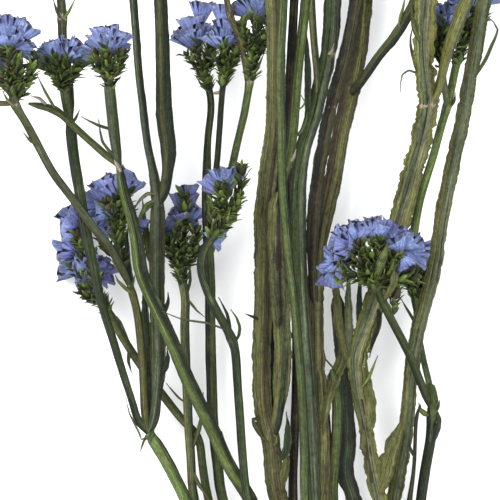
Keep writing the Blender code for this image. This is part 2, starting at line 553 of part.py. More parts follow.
def head_pieces(name, laid):
    """The blue calyces round their middle, as separate closed pieces, and the green bracts."""
    branch, middle, calyces, tips = head_calyces(name, laid)
    tip = np.array([*laid[branch]["xy"][-1], laid[branch]["z"][-1]])
    blue = []
    centres = [tip + [*m, -CORE_DROP] for m in middle]
    mesh = bmesh.new()
    ahead = centres[-1] - centres[0] if len(centres) > 1 else np.array([1.0, 0, 0])
    ahead = ahead / np.linalg.norm(ahead)
    line = [centres[0] - ahead * CORE_R, *centres, centres[-1] + ahead * CORE_R]
    rings = []
    for i, at in enumerate(line):
        way = line[min(i + 1, len(line) - 1)] - line[max(i - 1, 0)]
        across = np.cross(way / np.linalg.norm(way), (0, 0, 1))
        size = 0.45 if i in (0, len(line) - 1) else 1.0
        rings.append([at + across * CORE_R * size * a + np.array([0, 0, CORE_H * size * b])
                      for a, b in ((1, 0), (0, 1), (-1, 0), (0, -1))])
    ring_solid(mesh, rings)
    blue.append(new_object(name, mesh))
    size = TOPS[name][1] * 0.9 if name in TOPS else 1.0
    for n, c in enumerate(calyces):
        near = min(range(len(middle)), key=lambda k: np.linalg.norm(middle[k] - c[:2]))
        rim = tip + [c[0], c[1], c[2] - CORE_DROP]
        if name in RESTING and c[2] == calyces[:, 2].min():
            rim[2] = CALYX_R * size * CALYX_FLAT * 0.93 - FLAT
        mesh = bmesh.new()
        calyx(mesh, centres[near] + [0, 0, 0.13 * ((n % 3) - 1)], rim, CALYX_R * size, n * 1.3, PLEATS)
        blue.append(new_object(f"{name}_c{n}", mesh))
    green = []
    for n, t in enumerate(tips):
        mesh = bmesh.new()
        end = tip + [t[0], t[1], 0.3 * np.linalg.norm(t)]
        spike(mesh, tip + [0, 0, 0.05 * n], end, 1.25, 0.75)
        green.append(new_object(f"{name}_g{n}", mesh))
    return blue, green


def tie_outlines(laid):
    """Where the twine's inside and outside run: straight lengths that touch round all the stems."""
    reach = TWINE * TIE_TURNS / 2 + 2 * SAMPLE
    x, z, r = [], [], []
    for name, branch in laid.items():
        held = abs(branch["xy"][:, 1] - TIE_Y) < reach
        x += list(branch["xy"][held, 0])
        z += list(branch["z"][held])
        r += list(np.maximum(branch["width"], branch["thick"])[held])
    x, z, r = np.array(x), np.array(z), np.array(r) + STEM_EASE
    ways = [math.tau * k / TIE_SIDES - math.pi / 2 for k in range(TIE_SIDES)]
    out = []
    for more in (TIE_GAP, TIE_GAP + TWINE):
        far = [(x * math.cos(w) + z * math.sin(w) + r).max() + more for w in ways]
        corners = []
        for k, w in enumerate(ways):
            v = ways[(k + 1) % TIE_SIDES]
            lines = np.array([[math.cos(w), math.sin(w)], [math.cos(v), math.sin(v)]])
            corners.append(np.linalg.solve(lines, [far[k], far[(k + 1) % TIE_SIDES]]))
        out.append(corners)
    return out


def tie_solid(laid):
    inner, outer = tie_outlines(laid)
    mesh = bmesh.new()
    rows = []
    for (ix, iz), (ox, oz) in zip(inner, outer):
        ring = [(ix, TIE_Y - TWINE * TIE_TURNS / 2, iz)]
        ring.append((ix, TIE_Y + TWINE * TIE_TURNS / 2, iz))
        for turn in range(TIE_TURNS, 0, -1):
            y = TIE_Y + TWINE * (turn - TIE_TURNS / 2 - 0.5)
            cut = 0.45 if turn < TIE_TURNS else 0.3
            vx, vz = ix + (ox - ix) * cut, iz + (oz - iz) * cut
            ring.append((vx, y + TWINE / 2 - (0.02 if turn < TIE_TURNS else 0), vz))
            ring.append((ox, y + TWINE * 0.22, oz))
            ring.append((ox, y - TWINE * 0.22, oz))
        ring.append((ix + (ox - ix) * 0.3, TIE_Y - TWINE * TIE_TURNS / 2, iz + (oz - iz) * 0.3))
        rows.append([mesh.verts.new(Vector(p) * MM) for p in ring])
    count = len(rows[0])
    for i, a in enumerate(rows):
        b = rows[(i + 1) % len(rows)]
        for k in range(count):
            n = (k + 1) % count
            mesh.faces.new((a[k], a[n], b[n]))
            mesh.faces.new((a[k], b[n], b[k]))
    return new_object("tie", mesh)


def press_flat(item):
    """Cuts off what would lie under the surface, which leaves a small flat."""
    bpy.ops.mesh.primitive_cube_add(size=1)
    slab = bpy.context.active_object
    slab.data.transform(Matrix.Translation((0, 0, -0.025)) @ Matrix.Diagonal((1, 1, 0.05, 1)))
    cut = item.modifiers.new("surface", "BOOLEAN")
    cut.operation = "DIFFERENCE"
    cut.solver = "MANIFOLD"
    cut.object = slab
    bpy.context.view_layer.update()
    graph = bpy.context.evaluated_depsgraph_get()
    pressed = bpy.data.meshes.new_from_object(item.evaluated_get(graph))
    item.modifiers.clear()
    item.data = pressed
    bpy.data.objects.remove(slab)


def material(name, rgb, rough):
    made = bpy.data.materials.new(name)
    made.use_nodes = True
    shader = made.node_tree.nodes["Principled BSDF"]
    shader.inputs["Base Color"].default_value = (*rgb, 1)
    shader.inputs["Roughness"].default_value = rough
    shader.inputs["Metallic"].default_value = 0.0
    made.diffuse_color = (*rgb, 1)
    return made


def main():
    for item in list(bpy.data.objects):
        bpy.data.objects.remove(item)
    laid = lay()
    made = []
    stems = {}
    for name, (stem, *_) in BRANCHES.items():
        stems.setdefault(stem, []).append(branch_solid(name, laid))
    for name, (branch, *_) in (HEADS | TOPS).items():
        blue, green = head_pieces(name, laid)
        stems[BRANCHES[branch][0]] += green
        head = join(name, blue)
        head.data.materials.clear()
        head.data.materials.append(material(name, (0.22, 0.27, 0.68), 0.75))
        made.append(head)
    for stem, pieces in stems.items():
        whole = join(stem, pieces)
        whole.data.materials.clear()
        tone = STEM_TONES.get(stem, (0.15, 0.19, 0.06))
        whole.data.materials.append(material(stem, tone, 0.7))
        made.append(whole)
    tie = tie_solid(laid)
    tie.data.materials.append(material("tie", (0.55, 0.42, 0.26), 0.85))
    made.append(tie)
    for item in made:
        if min(v.co.z for v in item.data.vertices) < 0:
            press_flat(item)
        item.data.transform(Matrix.Translation(Vector((-CENTRE[0], -CENTRE[1], 0)) * MM))
        item.data.update()


main()
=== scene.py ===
"""Dried statice: a tied bunch lying on a pale table, with ribbed and winged stems and papery calyces."""

import math
import re

import bpy
import numpy as np
from mathutils import Matrix, Vector

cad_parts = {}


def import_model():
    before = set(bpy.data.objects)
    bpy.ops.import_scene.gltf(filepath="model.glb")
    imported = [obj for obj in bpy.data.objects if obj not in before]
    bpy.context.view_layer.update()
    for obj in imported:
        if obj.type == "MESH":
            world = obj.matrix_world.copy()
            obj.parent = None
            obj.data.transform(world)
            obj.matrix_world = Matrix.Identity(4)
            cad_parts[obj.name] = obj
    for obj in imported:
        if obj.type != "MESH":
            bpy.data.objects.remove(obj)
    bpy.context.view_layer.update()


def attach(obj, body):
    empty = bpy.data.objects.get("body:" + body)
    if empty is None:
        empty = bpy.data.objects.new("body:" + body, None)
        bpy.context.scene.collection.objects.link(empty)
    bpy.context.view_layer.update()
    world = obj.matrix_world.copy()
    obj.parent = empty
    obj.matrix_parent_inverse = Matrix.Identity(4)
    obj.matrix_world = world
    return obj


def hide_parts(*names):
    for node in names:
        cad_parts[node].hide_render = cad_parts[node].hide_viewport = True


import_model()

MM = 0.001
SKY = np.array([0, 0, 1.0])
CENTRE = (-5.2, -22.6)  # middle of the bunch's box in route coordinates, mm
VIEW_MM = 130.0  # width of the table that the photo takes in
VIEW_EDGE = 68  # the photo's view reaches nearly this far above and below its middle, mm
CAMERA_UP = 4.0  # metres
SENSOR = 36.0  # width of the camera's sensor, mm

# The twine, mm
TIE_Y = -130.0
TIE_TURNS = 3
TIE_SIDES = 16  # straight lengths round the bunch
TIE_HOLD, TIE_LEAVE = 8, 30  # stems lie straight this near the twine, and are free this much further on
TIE_GAP = 0.5  # between the stems and the twine
TWINE = 1.9  # thickness
TURN_POINTS, TURN_PITCH = 150, 0.98  # points in a turn; turns lie this much of a thickness apart
PLY_LAY = 4.6  # length in which a ply goes round once
PLY_OUT, PLY_HALF = 0.235, 0.255  # shares of the thickness: a ply's way off the middle, its half width

# How the branches lie, mm
SAMPLE = 2.5  # between the points of a route's curve
GAP = 0.9  # between things that cross
FLOOR = 0.7  # below the lowest branches
FLAT = 0.3  # depth of the flat spots that the bunch rests on
STEM_EASE = 0.2  # added to the stems at the twine
RISE = 0.012  # how sharply a branch bows over a crossing
STEM_RISE = (-125, -45)  # between these y a stem comes up to its own height
WING_FADE = (-95, -62)  # between these y the wings come out of the stem
WING_START = (5, 18)  # distances from its foot between which a side branch gets its wings
FORK_FREE = 18.0  # branches of one stem may touch this near their fork
FORK_RISE = 14  # a side branch leaves its parent's height over this length
FORK_BOUND = 6  # and clears what is below it from here on
FAR_OFF = 1e9  # sets what may touch out of reach

# The visible branches, mm
WINGED_PITCH, ROUND_PITCH, FAR_PITCH = 0.6, 1.0, 2.4  # between rings: winged, round, and outside the view
END_PITCH = 1.6  # least length of a branch's last step
LEAF_PITCH = 0.7  # between the rings of a leaf tip
EASE_REACH, EASE_ENDS, EASE_FLOOR = 5.0, 7.0, 0.4  # heights: smoothed, held at the ends, held up
SCAR_REACH = 1.7  # of the pale scar round a joint
WING_ROLL = 14.0  # degrees that the wings turn to and fro

# Heads, mm
CALYX_R = 4.3  # half width of a calyx
CALYX_FLAT = 0.78  # a calyx is pressed this much flatter than it is wide
CALYX_LONG = 6.8  # from throat to rim
CORE_R, CORE_H, CORE_DROP = 3.0, 1.5, 3.9  # a head's middle: half width, half height, depth below its stalk
THROATS = (2.6, 2.2)  # half width and half height of the calyces' throats
TIP_RISE = 0.3  # how far the green tips rise in a millimetre
BRACT_STEPS = 8  # bracts round one calyx
TWIG_POINTS = 12  # of the short twigs that carry the heads' centres
ROUND = 6.28  # a whole turn, for the random turns
# Calyces of a head past the photo's top: (angle from its axis, reach, height)
TOP_FAN = [(-77, 8.4, -1), (-26, 9, 0), (25, 9.2, 1), (76, 8.4, -1), (2, 6, 6), (-4, 6, -6)]
TOP_TIP, TOP_TIP_ANGLES = 7.6, (-34, 38)  # and their green tips: reach, angles
RESTING = ("head_t01", "head_t11", "head_t15", "head_low_left")  # heads that touch the surface
# Calyces added between the listed ones: tries for each, farthest reach, least room
FILL_TRIES, FILL_REACH, FILL_ROOM = 3, 8.5, 2.0
OPEN_HEADS = ("head_mid", "head_small_front")  # heads whose calyces are few and all listed
# Stalk under a head that its green scales cover: (length in mm, how many)
SCALY = {
    "head_mid": (5, 30), "head_small_front": (8, 40), "head_green": (7, 34), "head_front": (2, 14),
    "head_low_left": (4, 20), "head_pair_left": (5, 26), "head_top": (6, 30),
}

# Tones, those of the branches first
TONES = {
    "bright": "#7A8E48", "fresh": "#6E7C48", "green": "#4F6236", "olive": "#64663C", "grey_green": "#646E54",
    "dark": "#333D2C", "deep": "#1D2318", "brown": "#4E4531", "black": "#282420", "yellow": "#86873F",
    "pale": "#85865E", "russet": "#5C4038", "bone": "#BFAE9C",
    # dust, stains, torn fringe, painted shade in the furrows and cracks, and scars on the stems
    "dust": "#86825C", "stain": "#2A2A1E", "fringe": "#171910", "crack_and_furrow_shade": "#11120C", "scar": "#C0A496",
    # bracts
    "keel": "#5F7331", "keel_dark": "#232C17", "withered": "#4A3B28", "paper_rim": "#8A8A50",
    # calyces
    "blue": "#4A5CAE", "blue_light": "#8C9FE0", "blue_hair": "#AEBBF0", "vein_and_fold_shade": "#303F98",
    "throat": "#8088A8", "pale_rim": "#C2C8E6",
    # twine
    "jute_dark": "#8A6B42", "jute_light": "#CDB083",
}
# Where a branch is slimmer or fuller than its solid: its share of the width at these y, mm
WAIST = {
    "a_in": ([8, 22], [1.0, 0.6]), "a_left": ([-46, -36, -12, 4], [0.8, 0.74, 0.78, 1.0]),
    "l_up": ([22, 30], [1.0, 1.35]), "l": ([0, 12, 22], [1.0, 0.82, 0.68]),
    "w2": ([-62, -46, -34, -26], [0.72, 0.72, 0.8, 1.0]), "p": ([-68, -58], [1.0, 0.6]),
    "b": ([14, 28], [1.0, 0.68]), "a_in_right": ([30, 55], [1.0, 0.8]),
}


def table(text):
    """Rows of words, numbers and points such as 3,4.5 in mm; the further lines of a row are set in."""
    def read(part):
        if "," in part:
            return tuple(float(number) for number in part.split(","))
        return part if part[0].isalpha() or part == "|" else float(part)

    return [[read(part) for part in row.split()] for row in re.split(r"\n(?=\S)", text.strip())]


def between_bars(row):
    """The points that follow each bar of a row."""
    bars = [k for k, part in enumerate(row) if part == "|"] + [len(row)]
    return [row[first + 1 : last] for first, last in zip(bars, bars[1:])]


# Every branch, in the order in which they lie on one another, the lowest first:
# name, stem, grows from, half width, half thickness, wing, height at foot, height at tip, route
BRANCHES = {
    row[0]: ("stem_" + row[1], None if row[2] == "none" else row[2], *row[3:8], row[8:]) for row in table("""
q q none 1.1 1.1 0 3 6 12,-186 16.5,-130 6,-102 -6,-80 -10.8,-65 -12.5,-55 -13.4,-48.5 -17,-45 -21,-40
    -25.5,-34 -29.5,-28.5 -33,-23 -35.8,-18 -38.5,-13.5
m m none 1.2 1.2 0 3 7 17,-193 20,-130 5,-105 -9,-80 -14.5,-65 -15.3,-55 -16,-45 -16.6,-32 -17,-20 -16.7,-13
    -17.4,-9 -18.4,-4.5
b b none 1.4 1.2 1.6 3 7 22.5,-197 23.5,-130 12,-104 -1,-80 -7.1,-65 -8.5,-55 -9.6,-45 -10,-35 -10.3,-22
    -10.4,-8 -11,5 -11.2,20 -10.9,30 -10.1,36 -10.4,41 -12,46
b_right b b 0.8 0.8 0 6 8 -10.9,12 -8.9,20 -8,30 -7.6,36 -7.2,41 -6.6,45.5
d b b 1 1 0 6 7 -10.4,-2 -8.5,8 -5.5,18 -3.9,25 -2.5,31 -1.3,36 -0.5,41 0.1,45 0.6,49.5
d_left b d 0.8 0.8 0 7 7 -0.4,42 -0.9,46 -1.8,51 -3,55.5 -5.2,60.5 -6.2,66 -8,76 -10.5,88
r r none 1.4 1.25 0 3 9 47,-192 36,-130 39.5,-100 42.5,-80 44.5,-65 46,-55 47.2,-48 47.2,-41
r_right r r 0.85 0.85 0 9 8 47,-41 46.9,-36 45.7,-31 44.6,-26 43.6,-20 43.5,-14 43.4,-10.5
g r r_right 1.1 1.1 0 8 8 43.6,-16 42.3,-8 42.2,0 43,7 44.2,13 45.8,18.5 47.9,25 49.4,31 51.2,37 52.6,43
    53.8,49 55.6,54
g_left r g 0.9 0.9 0 8 8 51.6,36.5 50.6,42 49.8,46.5 49.6,50.5
f f none 1.3 1.15 2 3 8 44,-188 37.5,-130 37.2,-100 37,-80 37.6,-65 39.1,-56 40.8,-45 41.6,-35 42.8,-25
    45.2,-15 47.7,-5 49.3,5 51.1,15 53.2,25 55.4,35 57.1,45 59,55 60.6,65 64,85 67.5,108 70,128
p p none 0.85 0.85 0 6 12 40,-184 37.5,-130 38.8,-100 40,-80 41.5,-65 42.6,-57 43,-48 43.3,-42.5 44.4,-40.2
k2 k2 none 1.35 1.2 2 3 8 37,-195 34,-130 32.5,-100 29.5,-78 27.2,-65 25,-58 25.8,-50 25.2,-43 24.6,-35
    24,-26 23,-17 22.7,-11
k3 k3 none 1.4 1.2 0 6 12 38.5,-187 34,-130 29,-100 24,-80 21.6,-65 22,-56 22.6,-47 22.6,-38 21.2,-31
k k none 1.2 1.15 0 3 8 26,-199 27,-130 20,-102 13,-80 11.2,-65 11.5,-50 12,-35 12.1,-20 11,-6 9.9,8 9.6,22
    9.9,36 10.5,48 11.3,62 12,78
e e none 1.45 1.25 2.4 3 8 31,-190 30.5,-130 25.5,-102 20,-80 18.4,-65 18.6,-50 17.4,-35 16.9,-20 17,-10
    18,2 20.2,12 22.2,21 23.5,30 25.4,38 26.9,45 28.6,54 29.6,65 32,85 35.5,108 38,134
e_dark e e 1.2 1.1 1.8 7 9 16.9,-14 16.2,-4 16.4,8 17.8,20 19.6,30 21.3,38 22.9,44 24.7,50 26.2,57 27.7,65
    30,80 32.5,98
e_right e e 1.2 1.1 1.6 8 9 26.8,41 29.8,45 33.2,50 37.7,55.5 40.6,60 43.6,66 48.5,75 54,86
c3 c3 none 1.5 1.25 2.2 6 9 31.5,-198 30.5,-130 24,-102 18,-80 16.5,-65 16,-55 15.2,-38 13.9,-22 12.8,-5
    12.3,8 12.6,18 13.9,27 16.6,35 17.9,41 20.1,50 21.2,58 21.6,66 23,82 24.5,100 25.5,120
c3_left c3 c3 0.95 0.95 0 9 9 17.6,39 17.5,45 16.8,52 16.3,59 16,66 16.6,76
w2 w2 none 1.6 1.35 2.9 9 12 41,-196 32,-130 34,-100 34.5,-80 33.6,-65 32,-58 30.8,-50 29.6,-43 28.2,-36
    27.6,-28 29.6,-22 32.2,-15 34.4,-8 36.8,0 38.9,8 40.8,15 42.9,23 44.8,30 46.2,38 45.4,45 45,55 46,66
    47,84 48.5,104 49.5,116
w2_right w2 w2 1.2 1.1 1.8 12 12 46.3,37 48.6,41 49.8,46 51.1,51 52.6,56 56.2,65 60,76 66,92
w w none 1.6 1.35 2.5 9 11 24,-189 25,-130 20,-104 12,-82 7.4,-65 6.1,-57 5.4,-49 3.9,-44 3.1,-36 3.1,-26
    3.4,-14 3.5,-2 3.4,9 4.5,18 5.8,27 6.6,36 6.7,48 6.6,62 5,80 2.5,100
w_right w w 1.5 1.2 2.4 11 11 5.6,-50 7.2,-43 8.2,-34 8.4,-24 7.7,-11 7,0 6.9,9 7.3,15
c1 c1 none 1.2 1.15 0 6 14 27.5,-191 27,-130 22,-104 16.5,-82 14.2,-65 14.1,-52 13.4,-36 12.3,-22 11,-10
    9.6,1 8.7,12 8.2,22 8,34 7.7,44 8.1,55 8.6,66 8.8,84 9,108 9,136
c2 c1 c1 1.3 1.15 0 14 13 8.3,18 10.3,24.5 11.2,32 11.9,41 12.7,50 13.7,58 14.5,66 16.5,82
a a none 1.7 1.4 1.9 6 14 13,-194 16.5,-130 1,-102 -11,-80 -16.6,-65 -19.1,-60 -21.6,-55 -24.3,-50.5
    -26.3,-47.5
a_mid a a 1.05 1 0 14 18 -26.3,-47.5 -27.3,-43 -27.7,-34 -28.3,-25 -29.3,-16 -31.2,-9
a_inner a a_mid 0.8 0.8 0 17 11 -31,-10 -33.2,-4 -34.3,1 -34.6,5
a_left a a 1.35 1.25 1.7 14 17 -26.3,-47.5 -29,-45 -30.4,-40 -33,-32 -36,-22 -38.4,-14.5 -40.5,-5 -42.6,5
    -44.2,15 -45.8,25 -46.8,34
a_top a a_left 1.2 1.1 0 17 11 -46.8,34 -46.8,40 -47.6,48 -48.8,56 -48.7,61 -49.3,67 -50,76 -51,86
a_fan a a_left 1.2 1.1 0 17 17 -46.8,34 -47.7,38.5 -48.5,43.5
a_in a a 1.4 1.2 2.1 14 14 -26.3,-47.5 -24.9,-44 -24.2,-37 -23.8,-29 -24,-19 -24.2,-8 -24.1,3 -23.9,12
    -25,20 -26.7,28 -27.6,36 -28.7,44 -29.5,54 -30.3,65 -31.5,82 -33,102
a_in_right a a_in 1.5 1.2 2.3 14 14 -23.6,11 -21.9,17 -21,25 -21.9,32 -22.5,41 -22.7,52 -23.2,65 -23.4,84
    -23.5,104 -23.8,122
a_cross a a_mid 1.1 1 0 18 20 -31.2,-9 -33.4,-4.5 -36.5,1 -40,5 -43.5,10 -47.3,15 -51.3,20.5 -55,27.5
    -58.2,33.5 -61,38 -61.6,42.5
a_far a a_cross 0.8 0.8 0 19 14 -60.6,37.4 -64,37.6 -69,39 -75,43 -79,49
l l none 1.5 1.3 2 6 19 18.5,-190 20,-130 13,-104 5,-80 0.3,-65 -3,-60 -6,-55 -10.5,-45 -15.5,-35 -19.7,-25
    -24.3,-15 -28.2,-6 -29.1,1 -30.6,8 -32.7,15 -34,22
l_up l l 1.1 1.05 0 19 17 -34,22 -35,29 -35.8,37 -36.5,44.5
l_left l l 0.95 0.95 0 19 20 -34,22 -37,24.3 -40.5,27.4 -44,30.5 -47.5,33.8 -50.5,36.5 -53.5,37.2 -57.5,38
b2 b2 none 1.15 1.1 0 6 12 22,-185 23.5,-130 14,-104 5,-82 -0.5,-65 -1.8,-55 -2.5,-45 -3.3,-34 -4,-25
    -6.3,-20 -9.6,-14 -12,-8 -12.8,-3 -10.6,2.5 -7.3,5.6 -5.4,8.5
r_fan r r 1.1 1.1 0 10 22 47,-41 44.2,-34 41.3,-27 38.2,-21 35.2,-15.3 32.6,-9.5
""")}
# Heads whose calyces are each placed: name, branch | middle of the head | calyces as x,y,height | tips of
# the green bracts. Heights are measured from the stalk's tip.
HEADS = {"head_" + row[0]: (row[1], *between_bars(row)) for row in table("""
left_edge a_cross | -61.8,47.5 -62.3,51 | -56.8,52.5,0 -57,58.2,1 -61.2,60.4,0 -66,59.5,0 -69,54.5,-1
    -67.8,49,0 -62.5,56,5 -60,50,-5 -66,53,-6 | -58,48 -61.6,51.2 -65.4,47
fan a_fan | -48.7,48 | -55,51.3,0 -51.7,54,3 -47.7,54.5,1 -43.2,52,0 -46,52.5,5 -53,51,-4 -45.5,52.5,-4 |
    -54.4,48.4 -50.8,50.6 -46.8,50.4 -43.6,48.4
long l_up | -36.8,49.5 | -40.3,55,0 -37.5,57.6,1 -33,56.5,0 -35.5,55,5 -38.6,54.5,-4 -33.6,54.5,-4 |
    -41,49.4 -37.6,53 -33.6,51
pair_left b | -13.8,51.5 | -18.3,57,0 -15.3,60.5,1 -11.9,59,0 -15.5,57,5 -16.5,57,-5 -12.5,64.5,0 | -16.8,51
    -14,55 -10.8,52
pair_right b_right | -6.4,51 | -9.3,57,0 -5.8,59.5,1 -3.4,55.8,0 -7.2,56.2,5 -7,63.6,0 -5.5,57,-5 | -8.8,50
    -6.8,54 -3.6,51.4
mid m | -17.8,3 -17,6.5 | -21,9.2,0 -17,14.6,1 -13.4,11.4,0 -17.6,10.4,5 -22.2,4.5,-3 -14.6,8,-5 -18.5,11,-5
    | -21.3,1.6 -18.8,8 -14.4,2.4
small_front b2 | -6.3,13 | -10.2,19.6,0 -6.9,21,2 -4.6,20.4,-1 -9.4,17.5,-4 | -8.8,13 -5.6,17.8 -2,14
top d | 1.6,55.5 2.2,59 | 6.6,60.6,0 5.6,67,1 0.8,69,0 -3.2,64.5,0 2.2,65.4,5 4.5,62.5,-5 -1,65,-5 | -2.2,58
    1.2,62.5 5.4,57.8
behind g_left | 50.2,56 | 46.4,61.5,0 50.4,63.6,1 54.4,62.6,0 44.2,56.8,-1 50,61.2,5 51.6,61,-5 | 47,56
    50.2,59.4 53.2,55.8
green g | 57.2,60 57.8,62.5 | 53.8,67,0 58.4,70,1 63,67.4,0 58.2,66.5,5 60.4,66.8,-5 | 54.2,60.6 57.6,65.2
    61,60.4
low_left q | -42.2,-6 -44.6,1 -44.8,6 | -47.8,11,0 -49.2,5.8,2 -50.2,-0.8,0 -44.8,-7.4,3 -37,-6.6,0
    -46.5,8.6,5 -49.4,-4.6,-3 | -47.8,-3 -45,2.6 -40.8,0.6
low_right a_inner | -35.4,9.6 -35.8,12 | -41.2,15.4,0 -40.2,9.2,2 -37,18.8,1 -30.2,19.4,0 -36.8,4.6,-2
    -33.6,19,-4 | -38.2,13 -34,15.6 -30.8,10.8
right_low r_right | 44,-6 | 46.8,-0.6,0 47.6,-4.8,0 42.6,0.6,1 44.8,1.6,-3 | 41.6,-5.6 44.6,-3.2 46.6,-7.2
front r_fan | 22.5,-3.4 27.5,0.6 33,1.6 39,-1 | 18.9,-2.6,0 20.7,-9.4,0 21.2,3.4,0 24.6,6.2,1 29.2,6.8,2
    34.2,6.8,2 38.9,4.4,1 43.6,2.4,0 40.9,-5.2,4 46,-1.4,-1 24.2,0.8,5 37,2.4,5 30.5,5.6,-4 22.4,-4.6,-5 |
    23,-5 26,0.6 31,3 34.6,0.4 37.6,-4.6
""")}
# Heads past the photo's top: name, branch, size
TOPS = {"head_" + name: (branch, size) for name, branch, size in table("""
t01 a_top 1
t02 a_in 1.05
t03 a_in_right 1.1
t04 a_far 0.95
t05 d_left 0.95
t06 w 1
t07 c1 1.1
t09 c3 1.05
t10 e_dark 0.95
t11 e 1.1
t12 e_right 1
t13 w2 1
t14 w2_right 1
t15 f 1.1
""")}
# Each branch's tones on its left, its right and its edge, how light they are, and how ragged its wings
# The left and right tones are partly each stem's own colours and partly painted light and shade: one side
# lit, the other shaded.
LOOKS = {name: (tones, light, ragged) for name, *tones, light, ragged in table("""
q olive green olive 0.77 0.2
m olive dark dark 1.32 0.2
b dark bright green 0.28 0.2
b_right green grey_green dark 0.28 0.2
d green bright green 0.59 0.2
d_left brown olive olive 1.09 0.2
r dark green dark 0.3 0.2
r_right green dark dark 1.3 0.2
g green bright green 0.78 0.2
g_left green olive dark 1.07 0.2
f olive grey_green olive 0.7 0.5
p dark brown dark 0.56 0.4
k2 dark deep black 1.63 0.5
k3 olive green dark 0.86 0.2
k black brown black 0.61 0.5
e brown olive brown 1.16 0.35
e_dark black brown dark 1.2 0.5
e_right olive dark olive 0.64 0.5
c3 green grey_green dark 0.71 0.2
c3_left olive dark olive 1.71 0.3
w2 grey_green pale yellow 0.55 1
w2_right yellow pale olive 0.56 0.35
w olive brown olive 0.81 0.45
w_right olive dark olive 1.01 0.3
c1 fresh green green 0.54 0.2
c2 fresh bright green 0.51 0.2
a bright green green 0.64 0.2
a_mid pale yellow olive 0.34 0.2
a_inner green olive dark 0.28 0.2
a_left dark green olive 0.47 0.2
a_top brown green dark 0.62 0.2
a_fan green bright dark 0.47 0.2
a_in grey_green dark olive 0.6 0.2
a_in_right olive dark dark 0.59 0.2
a_cross olive grey_green olive 0.5 0.2
a_far olive brown dark 1 0.2
l bright dark green 0.47 0.2
l_up grey_green green dark 0.61 0.2
l_left olive green dark 0.7 0.2
b2 dark green dark 0.56 0.2
r_fan green bright dark 0.22 0.2
""")}
